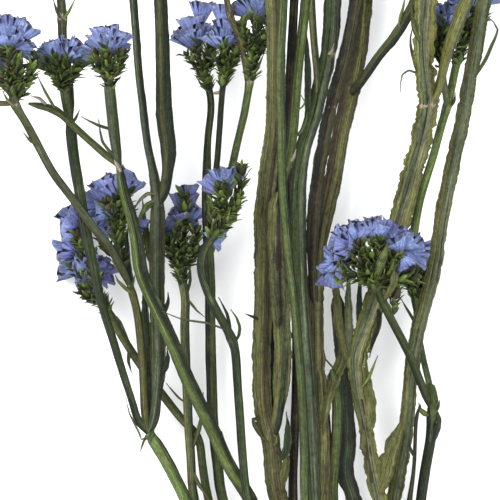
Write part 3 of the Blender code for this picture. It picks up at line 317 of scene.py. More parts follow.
# Leaf tips, tendrils and strips of painted shade: branch, tone, half width, rise, route from foot to tip
# The dark, deep and black strips with a negative rise lie under their branches as painted shade in the gaps
# between stems.
LEAVES = table("""
a grey_green 0.3 1.5 -28,-50 -28.8,-47.5 -31.3,-42.5 -32.3,-38
a green 0.35 -1 -26.6,-48.6 -27.6,-49.6 -28.6,-52.6
a green 0.9 1 -26,-50.5 -25.6,-48.7 -24.9,-46.8
a_top green 0.5 1 -48.9,59.8 -50.2,62 -51.2,65.4
a_top bright 0.5 1 -48.6,59.8 -47,62 -45.4,65.2
a_left green 0.4 1.2 -46.4,32.6 -45.2,34.2 -44.2,36.4
a_mid fresh 0.7 1.4 -31.2,-11 -32.6,-9.6 -34.2,-8.2 -35,-6.4
a_mid green 0.5 1.2 -31.4,-10.6 -30.4,-8.6 -29.9,-6.6
a_in pale 0.7 1.4 -24.2,14.6 -26.6,14.6 -28.6,13 -30.2,10.6
a_in green 0.6 1 -24.3,12.4 -26.4,11 -28.2,8.6
a_in dark 0.9 0.6 -23.4,-17.4 -22.1,-15.6 -21.2,-13.4 -21.3,-11
a_in dark 0.9 0.6 -23,-32.4 -21.9,-30.4 -21.3,-28 -21.6,-25.4
l_left bright 0.5 2 -50.3,36.4 -51.6,38.4 -53,40.8 -55.2,45.4
l_up green 0.5 2.4 -35.1,29.6 -36.6,31.4 -39.4,32.3 -43.7,34.5
l olive 0.55 2.4 -33.9,22.2 -35.4,24.6 -38.2,28 -39.2,33.8
l bone 0.8 0.8 -33.5,20.4 -34.6,22.4 -35.4,24.8
q olive 0.3 1.6 -35.6,-18.4 -34.9,-17.2 -33.6,-18.8 -32.6,-21 -31,-24.4
q olive 0.8 0.8 -13.2,-46.6 -14.4,-50 -16.2,-54.6
m dark 0.5 1.2 -16.4,-11.6 -15.5,-8 -15.6,-5 -16.2,-2.4
m olive 0.3 1 -17,-39.6 -18.6,-38.4 -20.2,-36.6 -21.8,-34.6
m olive 0.35 1 -16.6,-12.4 -15.4,-13.8 -13.8,-15.8 -11.8,-17.4
m olive 0.8 0.8 -15,-57.4 -13.6,-60.4 -12,-63 -10.3,-65.4
b2 green 0.55 1.6 -4.2,-24 -2.9,-22.4 -2.6,-20 -3.5,-17.5 -5,-15.4
b2 dark 0.6 1.8 -5,-22 -5.3,-19.4 -5.9,-16.6 -8.2,-12.2
b2 olive 0.3 2.6 -5.8,-20.8 -8,-20 -11,-18.9 -14,-18.5 -18,-17.8 -23,-15.8
b2 bone 0.7 0.8 -4.2,-25.4 -4.9,-23.4 -6.2,-21.6
b bone 0.7 0.8 -8.3,40.4 -7.2,42 -6.2,44
b green 0.5 1.2 -10.3,40.8 -12.4,42.6 -14,45
d green 0.45 1.2 0.2,44.4 1.6,46.4 2.6,48.4 3.6,50.8
d_left brown 0.5 1 -5,59.6 -4.2,61.8 -4.2,64.2
w olive 0.9 1.2 0.4,-43.4 1.6,-46 2.9,-48.4 4.9,-50.4
w fresh 0.6 1.4 5.6,-51 6.9,-50.2 7,-48.6 5.8,-47.8
w dark 0.4 0.8 2.6,-18 0.8,-17.4 -1.2,-16.6
w olive 1.3 0.4 7.2,-62 8.8,-58.6 9.6,-55 9.2,-51
w_right dark 1.2 0.8 8.6,-55 9.6,-51.4 9.9,-47 9.4,-42
c2 fresh 0.55 1.4 11.4,29 13,30.4 14.2,32.6 14.9,35.8
c2 bright 0.25 1.4 12.2,36 13.8,37.2 14.2,38.4 13,40.2
c2 bone 0.7 0.7 10.2,22.6 11.3,24 11.9,26
c3 olive 0.5 0.5 18.4,-66 19.2,-62 19.5,-58 19,-54.6
c3 bone 0.8 0.8 20,50 21.2,51.6 21.8,53.6
e olive 0.5 1.6 17,-29.6 17.9,-34 18.2,-39 17.4,-43.6
e olive 1.1 0.6 29.2,59 30.8,61 31.2,63.4 30.4,66
e_right bright 0.6 1.4 38.4,57.6 39,60.4 39.6,62.6 40.2,65.8
k2 olive 1.9 7 24.2,-27 22.8,-31 21,-35.4 19.8,-40 19.2,-45 18.9,-49
k2 olive 0.25 2 23.6,-32 21.5,-30.5 19.6,-28.4 17.8,-26.2
w2 bright 0.6 1.6 29,-36 30.8,-33.4 32,-30.4 33.2,-27.4
w2 olive 1.35 -1 25.4,-28.5 24.4,-25.4 23.2,-20 22.6,-14 22.4,-8 22.8,-2
w2 grey_green 1.2 -1 26.3,-27.6 25.8,-22 25.6,-16 25.6,-9.6 25.9,-3
w2 dark 0.95 -1 28.6,-23 28.4,-16 28.5,-9.6 28.9,-3
w2 olive 2.2 0.6 33.4,-63 35,-57.6 36.4,-52 38.4,-47 40,-43.2
w2 olive 0.7 1.4 46,39 44.6,41.6 43.4,46 41.9,51 41.5,55 42.6,59.4
w2 green 0.35 2.2 46.4,38.8 44.9,42.6 43.2,45.8 41,46.5 39.4,45.4 38.9,43 39,40.8
w2 bone 0.9 0.9 46.2,36 45.2,37.8 44.2,39.8
g russet 0.6 1 51.6,36.6 51,38.6 50.1,41
g green 0.6 1 51.9,37 53.2,38.8 53.4,41
g_left green 0.35 1.2 49.8,48.6 48.6,49.4 47.9,50.6 48.6,51.8
f green 0.7 1.6 58,44.6 60.6,48.6 62.6,53 64.2,57 63,59.2 61.4,60.4
r bright 0.9 1.2 46.8,-43 45.4,-42.6 44.2,-41.4 43.9,-39.6
r dark 0.6 0.8 47.4,-46.6 48.9,-45.4 49.4,-43.4
r dark 0.6 0.8 47.3,-42.6 48.9,-41.2 49.4,-39
r_right green 0.3 1.2 47,-40.4 48.5,-39.6 48.6,-37.6 47.4,-35.2
r_right olive 0.5 1.2 43.6,-20.4 42.2,-17.6 40.6,-15 39.2,-12.6
r_fan green 0.5 1.2 41.3,-27 42.6,-23.6 42.4,-20
p dark 0.6 0.8 42.9,-54 41.9,-52.2 41.3,-50
a_cross pale 0.6 1 -60.4,37 -62.6,38.6 -63.8,41
a_cross green 0.5 1.2 -54.6,27 -56.8,28.2 -58.6,30.4
k brown 0.5 0.8 12,-24 10.4,-21.6 9.9,-19
a_in dark 1.3 -0.8 -25.4,-45 -26.5,-38 -26.6,-30 -27,-20 -27.4,-10 -27,0
a_in green 1.1 -0.6 -24.6,-6 -26.4,1 -27.4,8 -28,14
a_mid dark 1.1 -2 -30.6,-11 -31.6,-5 -32,1 -31.6,7
a_in fresh 0.8 1.4 -24.6,13 -27,11.6 -28.6,8.4 -29.2,5
c3 dark 1 -1.6 14.6,27 15,36 15,46 14.4,57 14.2,66
e deep 1 -1 20.4,10 21,20 22.2,31 23.6,40
k3 dark 0.9 -1 21.8,-66 20.9,-56 20.7,-48 20.4,-38
k2 dark 1 -1 25.4,-64 23.4,-58 23.8,-50 23.2,-42
w black 1.5 -2.4 5.2,-47 5.8,-38 6,-24 5.4,-8 5.2,4
w deep 1.2 -2.4 5,4 6.6,12 7.2,20 7.6,28
m olive 0.8 0.6 -15.2,-52 -13.4,-47 -12.4,-42 -12.2,-37
l green 0.7 0.4 -1,-63 -3.6,-57 -5.8,-52 -7.4,-47
q olive 0.7 0.4 -31.4,-25.6 -31.6,-29 -30.8,-32
w2 olive 0.9 0.6 45,52 43,56 42,60 41.4,66
w2 olive 1.3 0.4 29,-52 31,-46 31.6,-40 30.4,-33 30.1,-26
l_left bone 0.7 1 -52.6,37.4 -54.6,39.4 -57,40
r_fan fresh 1.2 3.4 32.8,-7 33.8,-3.4 35,-0.4 35.8,2.6
r_fan olive 1.1 2.6 35.4,-12 37.2,-8.8 37.4,-5.4 36.8,-2
r green 1.2 0.8 46.4,-34 47.8,-37.8 47.9,-42 46.9,-47.6
w2 brown 0.9 0.5 31.8,-61 30.8,-52 29.6,-44 28.6,-36 28.2,-31
w2 black 1 0.9 33.8,-16 33.2,-20 31.9,-24 31,-28
w_right black 2 15 7.9,-20 7.6,-12 7.2,-4 7.2,4 7.4,10 7.4,16
r dark 0.8 1.2 47.4,-40.4 49.2,-44 48.4,-48.6 46.6,-52
""")
# Calyces that stand on their own in the view: head, rim, way it points, size
LOOSE = table("""
mid -20.8,7.6 -1,0.3 0.9
mid -16.3,16.8 -0.1,1 0.8
mid -13.9,11.4 0.5,1 0.85
low_right -27.6,5.4 0.6,-0.5 0.8
small_front -6.9,2.4 1,-0.4 0.8
low_left -45.2,-5.6 -0.8,-0.1 1.2
low_left -36.2,-5.4 1,0.3 1.1
low_left -41.4,-8.2 -0.2,-1 0.9
low_left -49.2,-0.2 -1,0.1 1
low_left -47.2,9.2 -0.8,0.6 1
low_left -48.2,4.4 -1,0.2 1
low_left -40.4,15.6 -0.3,1 0.95
low_left -46.4,-3.4 -0.8,0.6 1.1
low_left -43.4,-1.8 -0.35,1 1.1
low_left -40,-1.8 0.1,1 1.1
low_left -37.2,-3 0.6,0.8 1.1
low_left -45.2,-8 -1,-0.35 1
low_left -41.8,-5 -0.1,1 1.15
low_left -43.6,12 -0.6,0.8 1
low_right -37.4,8.4 -0.5,-0.3 1
low_right -36.2,17.6 -0.5,1 1.05
low_right -30.6,18.2 0.5,1 1
front 24.6,4.6 -0.8,0.8 1
front 28.6,7.2 -0.2,1 1
front 33.4,8 0.1,1 1.05
front 38,6.6 0.5,0.9 1.05
front 42.4,3.2 0.8,0.6 1.05
front 40.8,-4.2 0.2,-1 1.1
front 21.6,-0.8 -1,0.1 1
front 22,-6.6 -0.4,-1 0.9
""")
# Twigs clothed in green scales inside the heads: head, how many scales, rise, route from its foot
TWIGS = table("""
mid 26 3 -18.2,-5 -15.6,-3 -14.2,1 -14,5
mid 24 3.5 -18,0 -17.4,6 -16.8,11 -17,15
mid 16 2 -18.4,-4 -20.4,-1 -21.2,3
small_front 26 1.5 -5.6,8 -3.6,12 -2.4,17 -2.2,22
small_front 20 2.5 -6,9 -7.4,12 -7.8,17
small_front 12 1 -10.4,3 -9.4,8 -9.2,12
front 22 -1 32.6,-9.5 29.6,-7 26.4,-6.8 23,-8
front 22 1 32,-8 28.4,-4 25.6,-1.6 23.4,-2.6
front 22 2.5 32,-7 30,-2 28.4,1.4
front 24 3 32.6,-7 32.8,-2 33.8,2.6
front 22 2 33.4,-8 36,-5 37.2,-0.8
front 20 0.5 34,-9 37.4,-8.6 39.6,-7.4 43.4,-7
front 16 -2.5 36.6,-17 37.6,-12.6 38.4,-8
left_edge 30 -2 -60.8,38.6 -58.4,42 -56.6,46 -55.6,50
left_edge 22 -1 -61,40 -59.8,44.6 -60.2,50
left_edge 18 -1 -61.6,41 -64.6,44 -66.6,47
fan 18 -1 -48.6,42 -46,45 -43.4,48
fan 16 -1 -48.4,42.4 -51.2,46 -53.6,48.4
long 18 -1 -36.4,44 -33.8,47.4 -33,51
long 18 -1 -36.4,44 -38.8,47 -40,50
low_left 22 1 -38.8,-13.8 -41.2,-12.6 -43.6,-10.6
low_left 22 1 -42.6,-0.4 -43.8,1.4 -45,4
low_left 18 1 -36.2,-1.6 -36.8,0.4 -38,2.4
low_right 24 -1 -33.6,-6 -33.4,2 -34.6,9
low_right 22 0 -34.4,6 -33,11 -31.6,15
pair_left 20 0 -12,46 -10.4,49.6 -9.8,53.4
pair_right 18 0 -6.4,46 -4.4,49 -3.2,53
top 22 0 0.8,50 -1.6,54 -2.2,58.6
top 20 0 0.9,50 3.6,53.6 5.4,57
behind 20 0 49.8,50 47.4,52.6 45.8,56
behind 20 0 49.8,50 52,53 53,56.4
green 24 0 55.6,54 54.6,57.6 54.4,61.6
green 22 0 55.8,54 58.6,57.6 60.4,61.4
right_low 14 0 43.4,-12 41.6,-9 41,-6
right_low 14 0 43.6,-12 45.4,-9.4 46.4,-7
""")
# Joints between branches, with their pinkish papery scars: branch, place
JOINTS = table("""
a -26.6,-47.8
a_left -46.4,33
a_top -48.6,60.4
a_mid -31,-9.6
a_in -23.8,12
a_cross -60.8,37.6
l -33.8,21.6
l_left -50.4,36.4
b2 -4.3,-23
b -8.2,42.4
d 0,43.6
d_left -5.2,60.6
w 4.1,-48.8
w 4,-46.6
c2 10.4,24
c3 20.3,51
w2 27,-27
w2 46.3,37.6
g 51.6,37
r 47,-41.4
e_dark 21.1,37
q -35.5,-18.5
r_right 43.6,-17
f 57.6,44.6
e 26.6,41.6
""")


def smooth_route(points):
    """Points every SAMPLE mm on a smooth curve through these."""
    p = np.array(points, float)
    ends = np.vstack([2 * p[0] - p[1], p, 2 * p[-1] - p[-2]])
    out = []
    for i in range(1, len(ends) - 2):
        a, b, c, d = ends[i - 1 : i + 3]
        count = max(1, round(np.linalg.norm(c - b) / SAMPLE))
        for t in np.arange(count) / count:
            out.append(0.5 * (2 * b + (c - a) * t + (2 * a - 5 * b + 4 * c - d) * t**2
                              + (3 * b - a - 3 * c + d) * t**3))
    out.append(p[-1])
    return np.array(out)


def lengths(points):
    """How far along the line each point is."""
    steps = np.linalg.norm(np.diff(points, axis=0), axis=1)
    return np.concatenate([[0], np.cumsum(steps)])


def fade(y, low, high):
    """0 below low, 1 above high, and smooth between them."""
    t = np.clip((y - low) / (high - low), 0, 1)
    return t * t * (3 - 2 * t)


def unit(vectors):
    """Each of these vectors at length one."""
    return vectors / np.linalg.norm(vectors, axis=1)[:, None]


def nearest(points, place):
    """Number of the point that is nearest to the place."""
    return int(np.argmin(np.linalg.norm(points - place, axis=1)))


def wing_width(core, wing, xy):
    """Half width at each sample: the wings fade towards the tie."""
    full = max(core, wing)
    return core + (full - core) * fade(xy[:, 1], *WING_FADE)


def head_calyces(name, laid):
    """Middle line and calyces of a head, as offsets from its stalk's tip."""
    if name in HEADS:
        branch, middle, calyces, tips = HEADS[name]
        tip = laid[branch]["xy"][-1]
        middle = np.array(middle, float) - tip
        calyces = np.array(calyces, float)
        calyces[:, :2] -= tip
        return branch, middle, calyces, np.array(tips, float) - tip
    branch, size = TOPS[name]
    xy = laid[branch]["xy"]
    along = xy[-1] - xy[-3]
    along /= np.linalg.norm(along)
    side = np.array([along[1], -along[0]])
    middle = np.array([along * 5.5 * size, along * 7.5 * size])

    def way(angle):
        return math.cos(math.radians(angle)) * along + math.sin(math.radians(angle)) * side

    calyces = [[*(middle[0] + way(angle) * reach * size), height] for angle, reach, height in TOP_FAN]
    tips = [way(angle) * TOP_TIP * size for angle in TOP_TIP_ANGLES]
    return branch, middle, np.array(calyces), np.array(tips)


def lay():
    """Lays each branch, then its head, on what lies there already, and gives every sample a height."""
    laid, spots = {}, []
    heads = {row[0]: name for name, row in (HEADS | TOPS).items()}

    def needed(x, y, half, thick, stem, clear):
        """Lowest height at which something this big clears what is there."""
        low = 0.0
        for group, sx, sy, sz, sw, st in spots:
            reach = sw + half + GAP
            gap = (sx - x) ** 2 + (sy - y) ** 2
            if group == stem and clear is not None:
                gap = gap + FAR_OFF * ((sx - clear[0]) ** 2 + (sy - clear[1]) ** 2 < FORK_FREE**2)
            hit = gap < reach**2
            if hit.any():
                lift = sz[hit] + (st[hit] + thick + GAP) * np.sqrt(1 - gap[hit] / reach[hit] ** 2) ** 0.5
                low = max(low, lift.max())
        return low

    for name, (stem, parent, core, thick, wing, z0, z1, points) in BRANCHES.items():
        xy = smooth_route(points)
        along = lengths(xy)
        width = wing_width(core, wing, xy)
        if parent:
            width = core + (width - core) * fade(along, *WING_START)
        z = z0 + (z1 - z0) * fade(xy[:, 1], *STEM_RISE)
        foot = near = None
        if parent:
            host = laid[parent]
            near = nearest(host["xy"], xy[0])
            foot = xy[0] = host["xy"][near]
            z = host["z"][near] + (z1 - host["z"][near]) * along / along[-1]
        near_tie = 1 - np.clip((abs(xy[:, 1] - TIE_Y) - TIE_HOLD) / TIE_LEAVE, 0, 1) ** 2
        floor = thick + FLOOR + (TWINE + TIE_GAP + STEM_EASE - FLAT - FLOOR) * near_tie
        need = np.maximum(floor, [needed(x, y, w, thick, stem, foot) for (x, y), w in zip(xy, width)])
        laid[name] = {"xy": xy, "width": width, "thick": thick, "host": near}
        head = heads.get(name)
        if head:
            _, middle, calyces, tips = head_calyces(head, laid)
            tip = xy[-1]
            rows = [(*(tip + m), CORE_DROP, CORE_R, CORE_H) for m in middle]
            rows += [(*(tip + c[:2]), CORE_DROP - c[2], CALYX_R * 0.9, CALYX_R * CALYX_FLAT) for c in calyces]
            for c in calyces:
                half = (middle[nearest(middle, c[:2])] + c[:2]) / 2
                rows.append((*(tip + half), CORE_DROP - c[2] / 2, *THROATS))
            drop = max(needed(x, y, r, h, None, None) + d for x, y, d, r, h in rows)
            ground = max(d + h + FLOOR for x, y, d, r, h in rows)
            need[-1] = max(need[-1], drop, ground)
        for i in range(1 if parent else 0, len(z)):
            bow = need - RISE * (along - along[i]) ** 2
            z[i] = max(z[i], bow.max())
        if parent:
            slow = np.minimum(z, z[0] + (z - z[0]) * np.clip(along / FORK_RISE, 0, 1))
            z = np.where(along < FORK_RISE, slow, z)
            z = np.maximum(z, np.where(along > FORK_BOUND, need, z))
        laid[name]["z"] = z
        spots.append((stem, xy[:, 0], xy[:, 1], z, width, np.full(len(z), thick)))
        if head:
            x, y, d, r, h = np.array(rows).T
            spots.append((head, x, y, z[-1] - d, r, h))
            green = np.array([[*(tip + t * k), z[-1] + TIP_RISE * np.linalg.norm(t * k)]
                              for t in tips for k in (0.4, 0.9)])
            spots.append((stem, *green.T, np.full(len(green), 1.2), np.full(len(green), 1.0)))
    return laid


def tie_outlines(laid):
    """Where the twine's inside and outside run: straight lengths that touch round all the stems."""
    reach = TWINE * TIE_TURNS / 2 + 2 * SAMPLE
    x, z, r = [], [], []
    for name, branch in laid.items():
        held = abs(branch["xy"][:, 1] - TIE_Y) < reach
        x += list(branch["xy"][held, 0])
        z += list(branch["z"][held])
        r += list(np.maximum(branch["width"], branch["thick"])[held])
    x, z, r = np.array(x), np.array(z), np.array(r) + STEM_EASE
    ways = [math.tau * k / TIE_SIDES - math.pi / 2 for k in range(TIE_SIDES)]
    out = []
    for more in (TIE_GAP, TIE_GAP + TWINE):
        far = [(x * math.cos(w) + z * math.sin(w) + r).max() + more for w in ways]
        corners = []
        for k, w in enumerate(ways):
            v = ways[(k + 1) % TIE_SIDES]
            lines = np.array([[math.cos(w), math.sin(w)], [math.cos(v), math.sin(v)]])
            corners.append(np.linalg.solve(lines, [far[k], far[(k + 1) % TIE_SIDES]]))
        out.append(corners)
    return out


class Field:
    """A value in a node tree that takes ordinary arithmetic."""

    def __init__(self, tree, socket):
        self.tree = tree
        self.socket = socket

    def node(self, kind, operation, values):
        made = self.tree.nodes.new(kind)
        made.operation = operation
        slots = [s for s in made.inputs if s.enabled]
        if operation == "SCALE":
            slots = [made.inputs[0], made.inputs["Scale"]]
        for slot, value in zip(slots, values):
            feed(self.tree, slot, value)
        out = [s for s in made.outputs if s.enabled]
        return Field(self.tree, out[0])

    def math(self, operation, *others):
        return self.node("ShaderNodeMath", operation, (self, *others))

    def vector(self, operation, *others):
        return self.node("ShaderNodeVectorMath", operation, (self, *others))

    def either(self, for_vector, for_number, other):
        """One operation where this is a vector, another where it is a number."""
        if self.socket.type == "VECTOR":
            return self.vector(for_vector, other)
        return self.math(for_number, other)

    def __add__(self, other):
        return self.either("ADD", "ADD", other)

    def __sub__(self, other):
        return self.either("SUBTRACT", "SUBTRACT", other)

    def __rsub__(self, other):
        return self.math("MULTIPLY", -1.0).math("ADD", other)

    def __mul__(self, other):
        return self.either("SCALE", "MULTIPLY", other)

    def __truediv__(self, other):
        return self.math("DIVIDE", other)

    def __pow__(self, other):
        return self.math("POWER", other)

    def sin(self):
        return self.math("SINE")

    def cos(self):
        return self.math("COSINE")

    def abs(self):
        return self.math("ABSOLUTE")

    def sign(self):
        return self.math("SIGN")

    def limit(self, low=0.0, high=1.0):
        return self.math("MAXIMUM", low).math("MINIMUM", high)

    def part(self, axis):
        return add_node(self.tree, "ShaderNodeSeparateXYZ", axis, Vector=self)


def feed(tree, slot, value):
    """Links a field to the slot, or sets a plain value there."""
    if isinstance(value, Field):
        tree.links.new(value.socket, slot)
    elif value is not None:
        slot.default_value = value


def add_node(tree, kind, output=0, settings=None, **values):
    """A new node with these settings and inputs: one of its outputs."""
    made = tree.nodes.new(kind)
    for label, value in (settings or {}).items():
        setattr(made, label, value)
    for label, value in values.items():
        feed(tree, made.inputs[label.replace("_", " ")], value)
    return Field(tree, made.outputs[output])


def combine(tree, x, y, z):
    return add_node(tree, "ShaderNodeCombineXYZ", X=x, Y=y, Z=z)


def noise(tree, place, scale, detail=2.0, rough=0.5):
    """A noise between about -0.5 and 0.5."""
    made = add_node(tree, "ShaderNodeTexNoise", Vector=place, Scale=scale, Detail=detail, Roughness=rough)
    return made - 0.5


class Tree:
    """A Geometry Nodes group with named inputs."""

    def __init__(self, name, inputs):
        self.tree = bpy.data.node_groups.new(name, "GeometryNodeTree")
        face = self.tree.interface
        face.new_socket("Geometry", in_out="OUTPUT", socket_type="NodeSocketGeometry")
        face.new_socket("Geometry", in_out="INPUT", socket_type="NodeSocketGeometry")
        kinds = {float: "NodeSocketFloat", int: "NodeSocketInt"}
        for label, value in inputs.items():
            kind = kinds.get(type(value), "NodeSocketMaterial")
            slot = face.new_socket(label, in_out="INPUT", socket_type=kind)
            if value is not None:
                slot.default_value = value
        self.start = self.tree.nodes.new("NodeGroupInput")
        self.end = self.tree.nodes.new("NodeGroupOutput")

    def given(self, label):
        return Field(self.tree, self.start.outputs[label])

    def make(self, kind, settings=None, output=0, **values):
        return add_node(self.tree, kind, output, settings, **values)

    def named(self, name, kind="FLOAT"):
        return self.make("GeometryNodeInputNamedAttribute", {"data_type": kind}, Name=name)

    def store(self, geometry, name, value, kind="FLOAT"):
        return self.make("GeometryNodeStoreNamedAttribute", {"data_type": kind, "domain": "POINT"},
                         Geometry=geometry, Name=name, Value=value)

    def place(self, geometry, position):
        return self.make("GeometryNodeSetPosition", Geometry=geometry, Position=position)

    def join(self, geometry):
        """Everything in it as one plain skin."""
        return self.make("GeometryNodeRealizeInstances", Geometry=geometry)

    def close(self, whole):
        """Gives the skin its material and ends the tree."""
        shaded = self.make("GeometryNodeSetMaterial", Geometry=whole, Material=self.given("Material"))
        feed(self.tree, self.end.inputs[0], shaded)
        return self.tree


def stem_tree():
    """Skins each spine with furrowed ribs and, where it is wider than its core, two thin lobed wings."""
    t = Tree("furrowed_winged_stem", {
        "Sides": 40, "Furrows": 10.0, "Furrow depth": 0.2, "Lobes": 4.5, "Teeth": 0.9, "Crisping": 0.003,
        "Material": None})
    tree = t.tree
    line = t.make("GeometryNodeMeshToCurve", Mesh=t.given("Geometry"))
    ring = t.make("GeometryNodeCurvePrimitiveCircle", Resolution=t.given("Sides"), Radius=0.001)
    index = t.make("GeometryNodeInputIndex")
    ring = t.store(ring, "turn", index * math.tau / t.given("Sides"))
    skin = t.make("GeometryNodeCurveToMesh", Curve=line, **{"Profile_Curve": ring, "Fill_Caps": True})
    turn, along, seed = t.named("turn"), t.named("along"), t.named("seed")
    core, thick, wide = t.named("core"), t.named("thick"), t.named("wide")
    across, height = turn.cos(), turn.sin()
    winged = ((wide - core) / 0.0006).limit()
    depth = noise(tree, combine(tree, across * 2.3, height * 2.3, along * 22.0 + seed), 1.0, 2.0) * 6.0 + 0.3
    wander = noise(tree, combine(tree, across * 1.1, height * 1.1 + 4.0, along * 30.0 + seed), 1.0, 2.0) * 5.0
    furrow = 1.0 - (turn * t.given("Furrows") * 0.5 + wander).sin().abs() ** 0.5
    furrow = furrow * depth.limit(0.0, 1.3)
    hollow = 1.0 - furrow * t.given("Furrow depth")
    out = across.abs() ** 3.0
    swell = noise(tree, combine(tree, along * 75.0, across.sign() * 5.0, seed + 3.0), 1.0, 1.0, 0.4)
    lobes = noise(tree, combine(tree, along * 330.0, across.sign() * 3.0, seed), 1.0, 2.0, 0.6)
    teeth = noise(tree, combine(tree, along * 1300.0, across.sign() * 7.0, seed), 1.0, 1.0, 0.4)
    torn = (swell * 4.0 + 0.55).limit(0.0, 1.0)
    ruffle = t.named("ruffle")
    tooth = swell * 0.7 + lobes * t.given("Lobes") * torn * ruffle + teeth * t.given("Teeth") * ruffle + 1.0
    tooth = tooth.limit(0.25, 1.25)
    slim = core * (1.0 - winged * 0.2)
    uneven = combine(tree, along * 140.0, across * 1.2, height * 1.2 + seed)
    shake = noise(tree, uneven, 1.0, 2.0) * 0.22 + 1.0
    x = across * slim * hollow * shake + across.sign() * out * (wide - slim) * tooth * winged
    y = height * thick * hollow * shake * (1.0 - winged * 0.86 * across * across)
    wave = noise(tree, combine(tree, along * 230.0, across.sign() * 5.0 + 9.0, seed), 1.0, 2.0, 0.5)
    y = y + wave * out * winged * t.given("Crisping") * (ruffle * 0.8 + 0.2)
    place = t.named("spine", "FLOAT_VECTOR") + t.named("side", "FLOAT_VECTOR") * x
    place = place + t.named("up", "FLOAT_VECTOR") * y
    skin = t.place(skin, place)
    grain = combine(tree, across * 1.4, height * 1.4 + seed, along * 60.0)
    skin = t.store(skin, "grain", grain, "FLOAT_VECTOR")
    skin = t.store(skin, "edge", across.abs() * winged)
    skin = t.store(skin, "lit", across)
    skin = t.store(skin, "furrow", furrow)
    return t.close(t.join(skin))


def shell(t, around, rings):
    """A flat sheet to be rolled up: each point's turn round the form, and its run from -1 to 1 along it."""
    grid = t.make("GeometryNodeMeshGrid", **{"Size_X": 1.0, "Size_Y": 1.0, "Vertices_X": around,
                                             "Vertices_Y": rings})
    spot = t.make("GeometryNodeInputPosition")
    turn = (spot.part(0) + 0.5) * math.tau
    run = (spot.part(1) + 0.5) * 2.0 - 1.0
    grid = t.store(grid, "turn", turn)
    return t.store(grid, "run", run)


def plant(t, form):
    """Sets the form on each point, turned and sized as the point says, as one plain skin."""
    tree = t.tree
    size = combine(tree, t.named("wide"), t.named("flat"), t.named("long"))
    return t.join(t.make("GeometryNodeInstanceOnPoints", Points=t.given("Geometry"), Instance=form,
                         Rotation=t.named("turned", "FLOAT_VECTOR"), Scale=size))


def crumple(t, whole, amount, scale):
    """Shifts each point a little by a smooth noise; neighbours stay together."""
    spot = t.make("GeometryNodeInputPosition")
    shake = t.make("ShaderNodeTexNoise", output="Color", Vector=spot, Scale=scale, Detail=2.0)
    return t.place(whole, spot + shake.vector("SUBTRACT", (0.5, 0.5, 0.5)) * amount)


def calyx_tree():
    """Sets a papery pleated funnel on each point, its mouth along the point's own direction."""
    t = Tree("papery_calyces", {
        "Sides": 25, "Rings": 5, "Pleats": 12.0, "Radius": 0.0037, "Length": 0.0068, "Paper": 0.00012,
        "Pleat depth": 0.05, "Crumple": 0.0013, "Fraying": 0.0013, "Material": None})
    tree = t.tree
    cup = shell(t, t.given("Sides"), t.given("Rings"))
    turn, run = t.named("turn"), t.named("run")
    v = 1.0 - run.abs()
    inside = (run.sign() + 1.0) * 0.5
    fold = (turn * t.given("Pleats")).cos()
    lobe = (turn * 5.0).cos()
    r = t.given("Radius") * (v ** 1.1 * 0.92 + (v * 9.0).limit() * 0.08)
    r = r * (fold * v * t.given("Pleat depth") + 1.0) * (lobe * v * v * 0.03 + 1.0)
    r = r - inside * t.given("Paper") * (v * 9.0).limit()
    z = t.given("Length") * (v - 1.0) + lobe * (v ** 4.0) * 0.00025 + inside * t.given("Paper")
    cup = t.place(cup, combine(tree, turn.cos() * r, turn.sin() * r, z))
    cup = t.make("GeometryNodeMergeByDistance", Geometry=cup, Distance=0.00002)
    cup = t.store(cup, "petal", combine(tree, turn.cos(), turn.sin(), v), "FLOAT_VECTOR")
    cup = t.store(cup, "fold", fold)
    whole = plant(t, cup)
    bend = t.named("petal", "FLOAT_VECTOR").part(2)
    whole = crumple(t, whole, bend * bend * t.given("Crumple"), 330.0)
    return t.close(crumple(t, whole, bend ** 5.0 * t.given("Fraying"), 1100.0))


def bract_tree():
    """Sets a pointed, keeled bract on each point, its tip along the point's own direction."""
    t = Tree("pointed_bracts", {"Sides": 7, "Rings": 6, "Width": 0.0006, "Length": 0.0052, "Leaf": 0.00016,
                                "Crumple": 0.0016, "Material": None})
    tree = t.tree
    blade = shell(t, t.given("Sides"), t.given("Rings"))
    turn, run = t.named("turn"), t.named("run")
    v = (run + 1.0) * 0.5
    w = ((v ** 0.7) * math.pi).sin().limit() ** 0.75
    x = turn.cos() * w * t.given("Width")
    y = turn.sin() * w * t.given("Leaf") - x.abs() * 0.5 + v * v * 0.0007
    blade = t.place(blade, combine(tree, x, y, v * t.given("Length")))
    blade = t.make("GeometryNodeMergeByDistance", Geometry=blade, Distance=0.00002)
    grain = combine(tree, turn.cos() * 1.6, turn.sin() * 0.4, v * 0.9)
    blade = t.store(blade, "grain", grain, "FLOAT_VECTOR")
    blade = t.store(blade, "edge", turn.cos().abs() ** 4.0 * 0.6 + v ** 5.0 * 0.6)
    blade = t.store(blade, "lit", turn.cos())
    blade = t.store(blade, "reach", v)
    whole = plant(t, blade)
    return t.close(crumple(t, whole, t.named("reach") * t.given("Crumple"), 480.0))


def add_object(name, data):
    """A new object in the scene."""
    made = bpy.data.objects.new(name, data)
    bpy.context.scene.collection.objects.link(made)
    return made


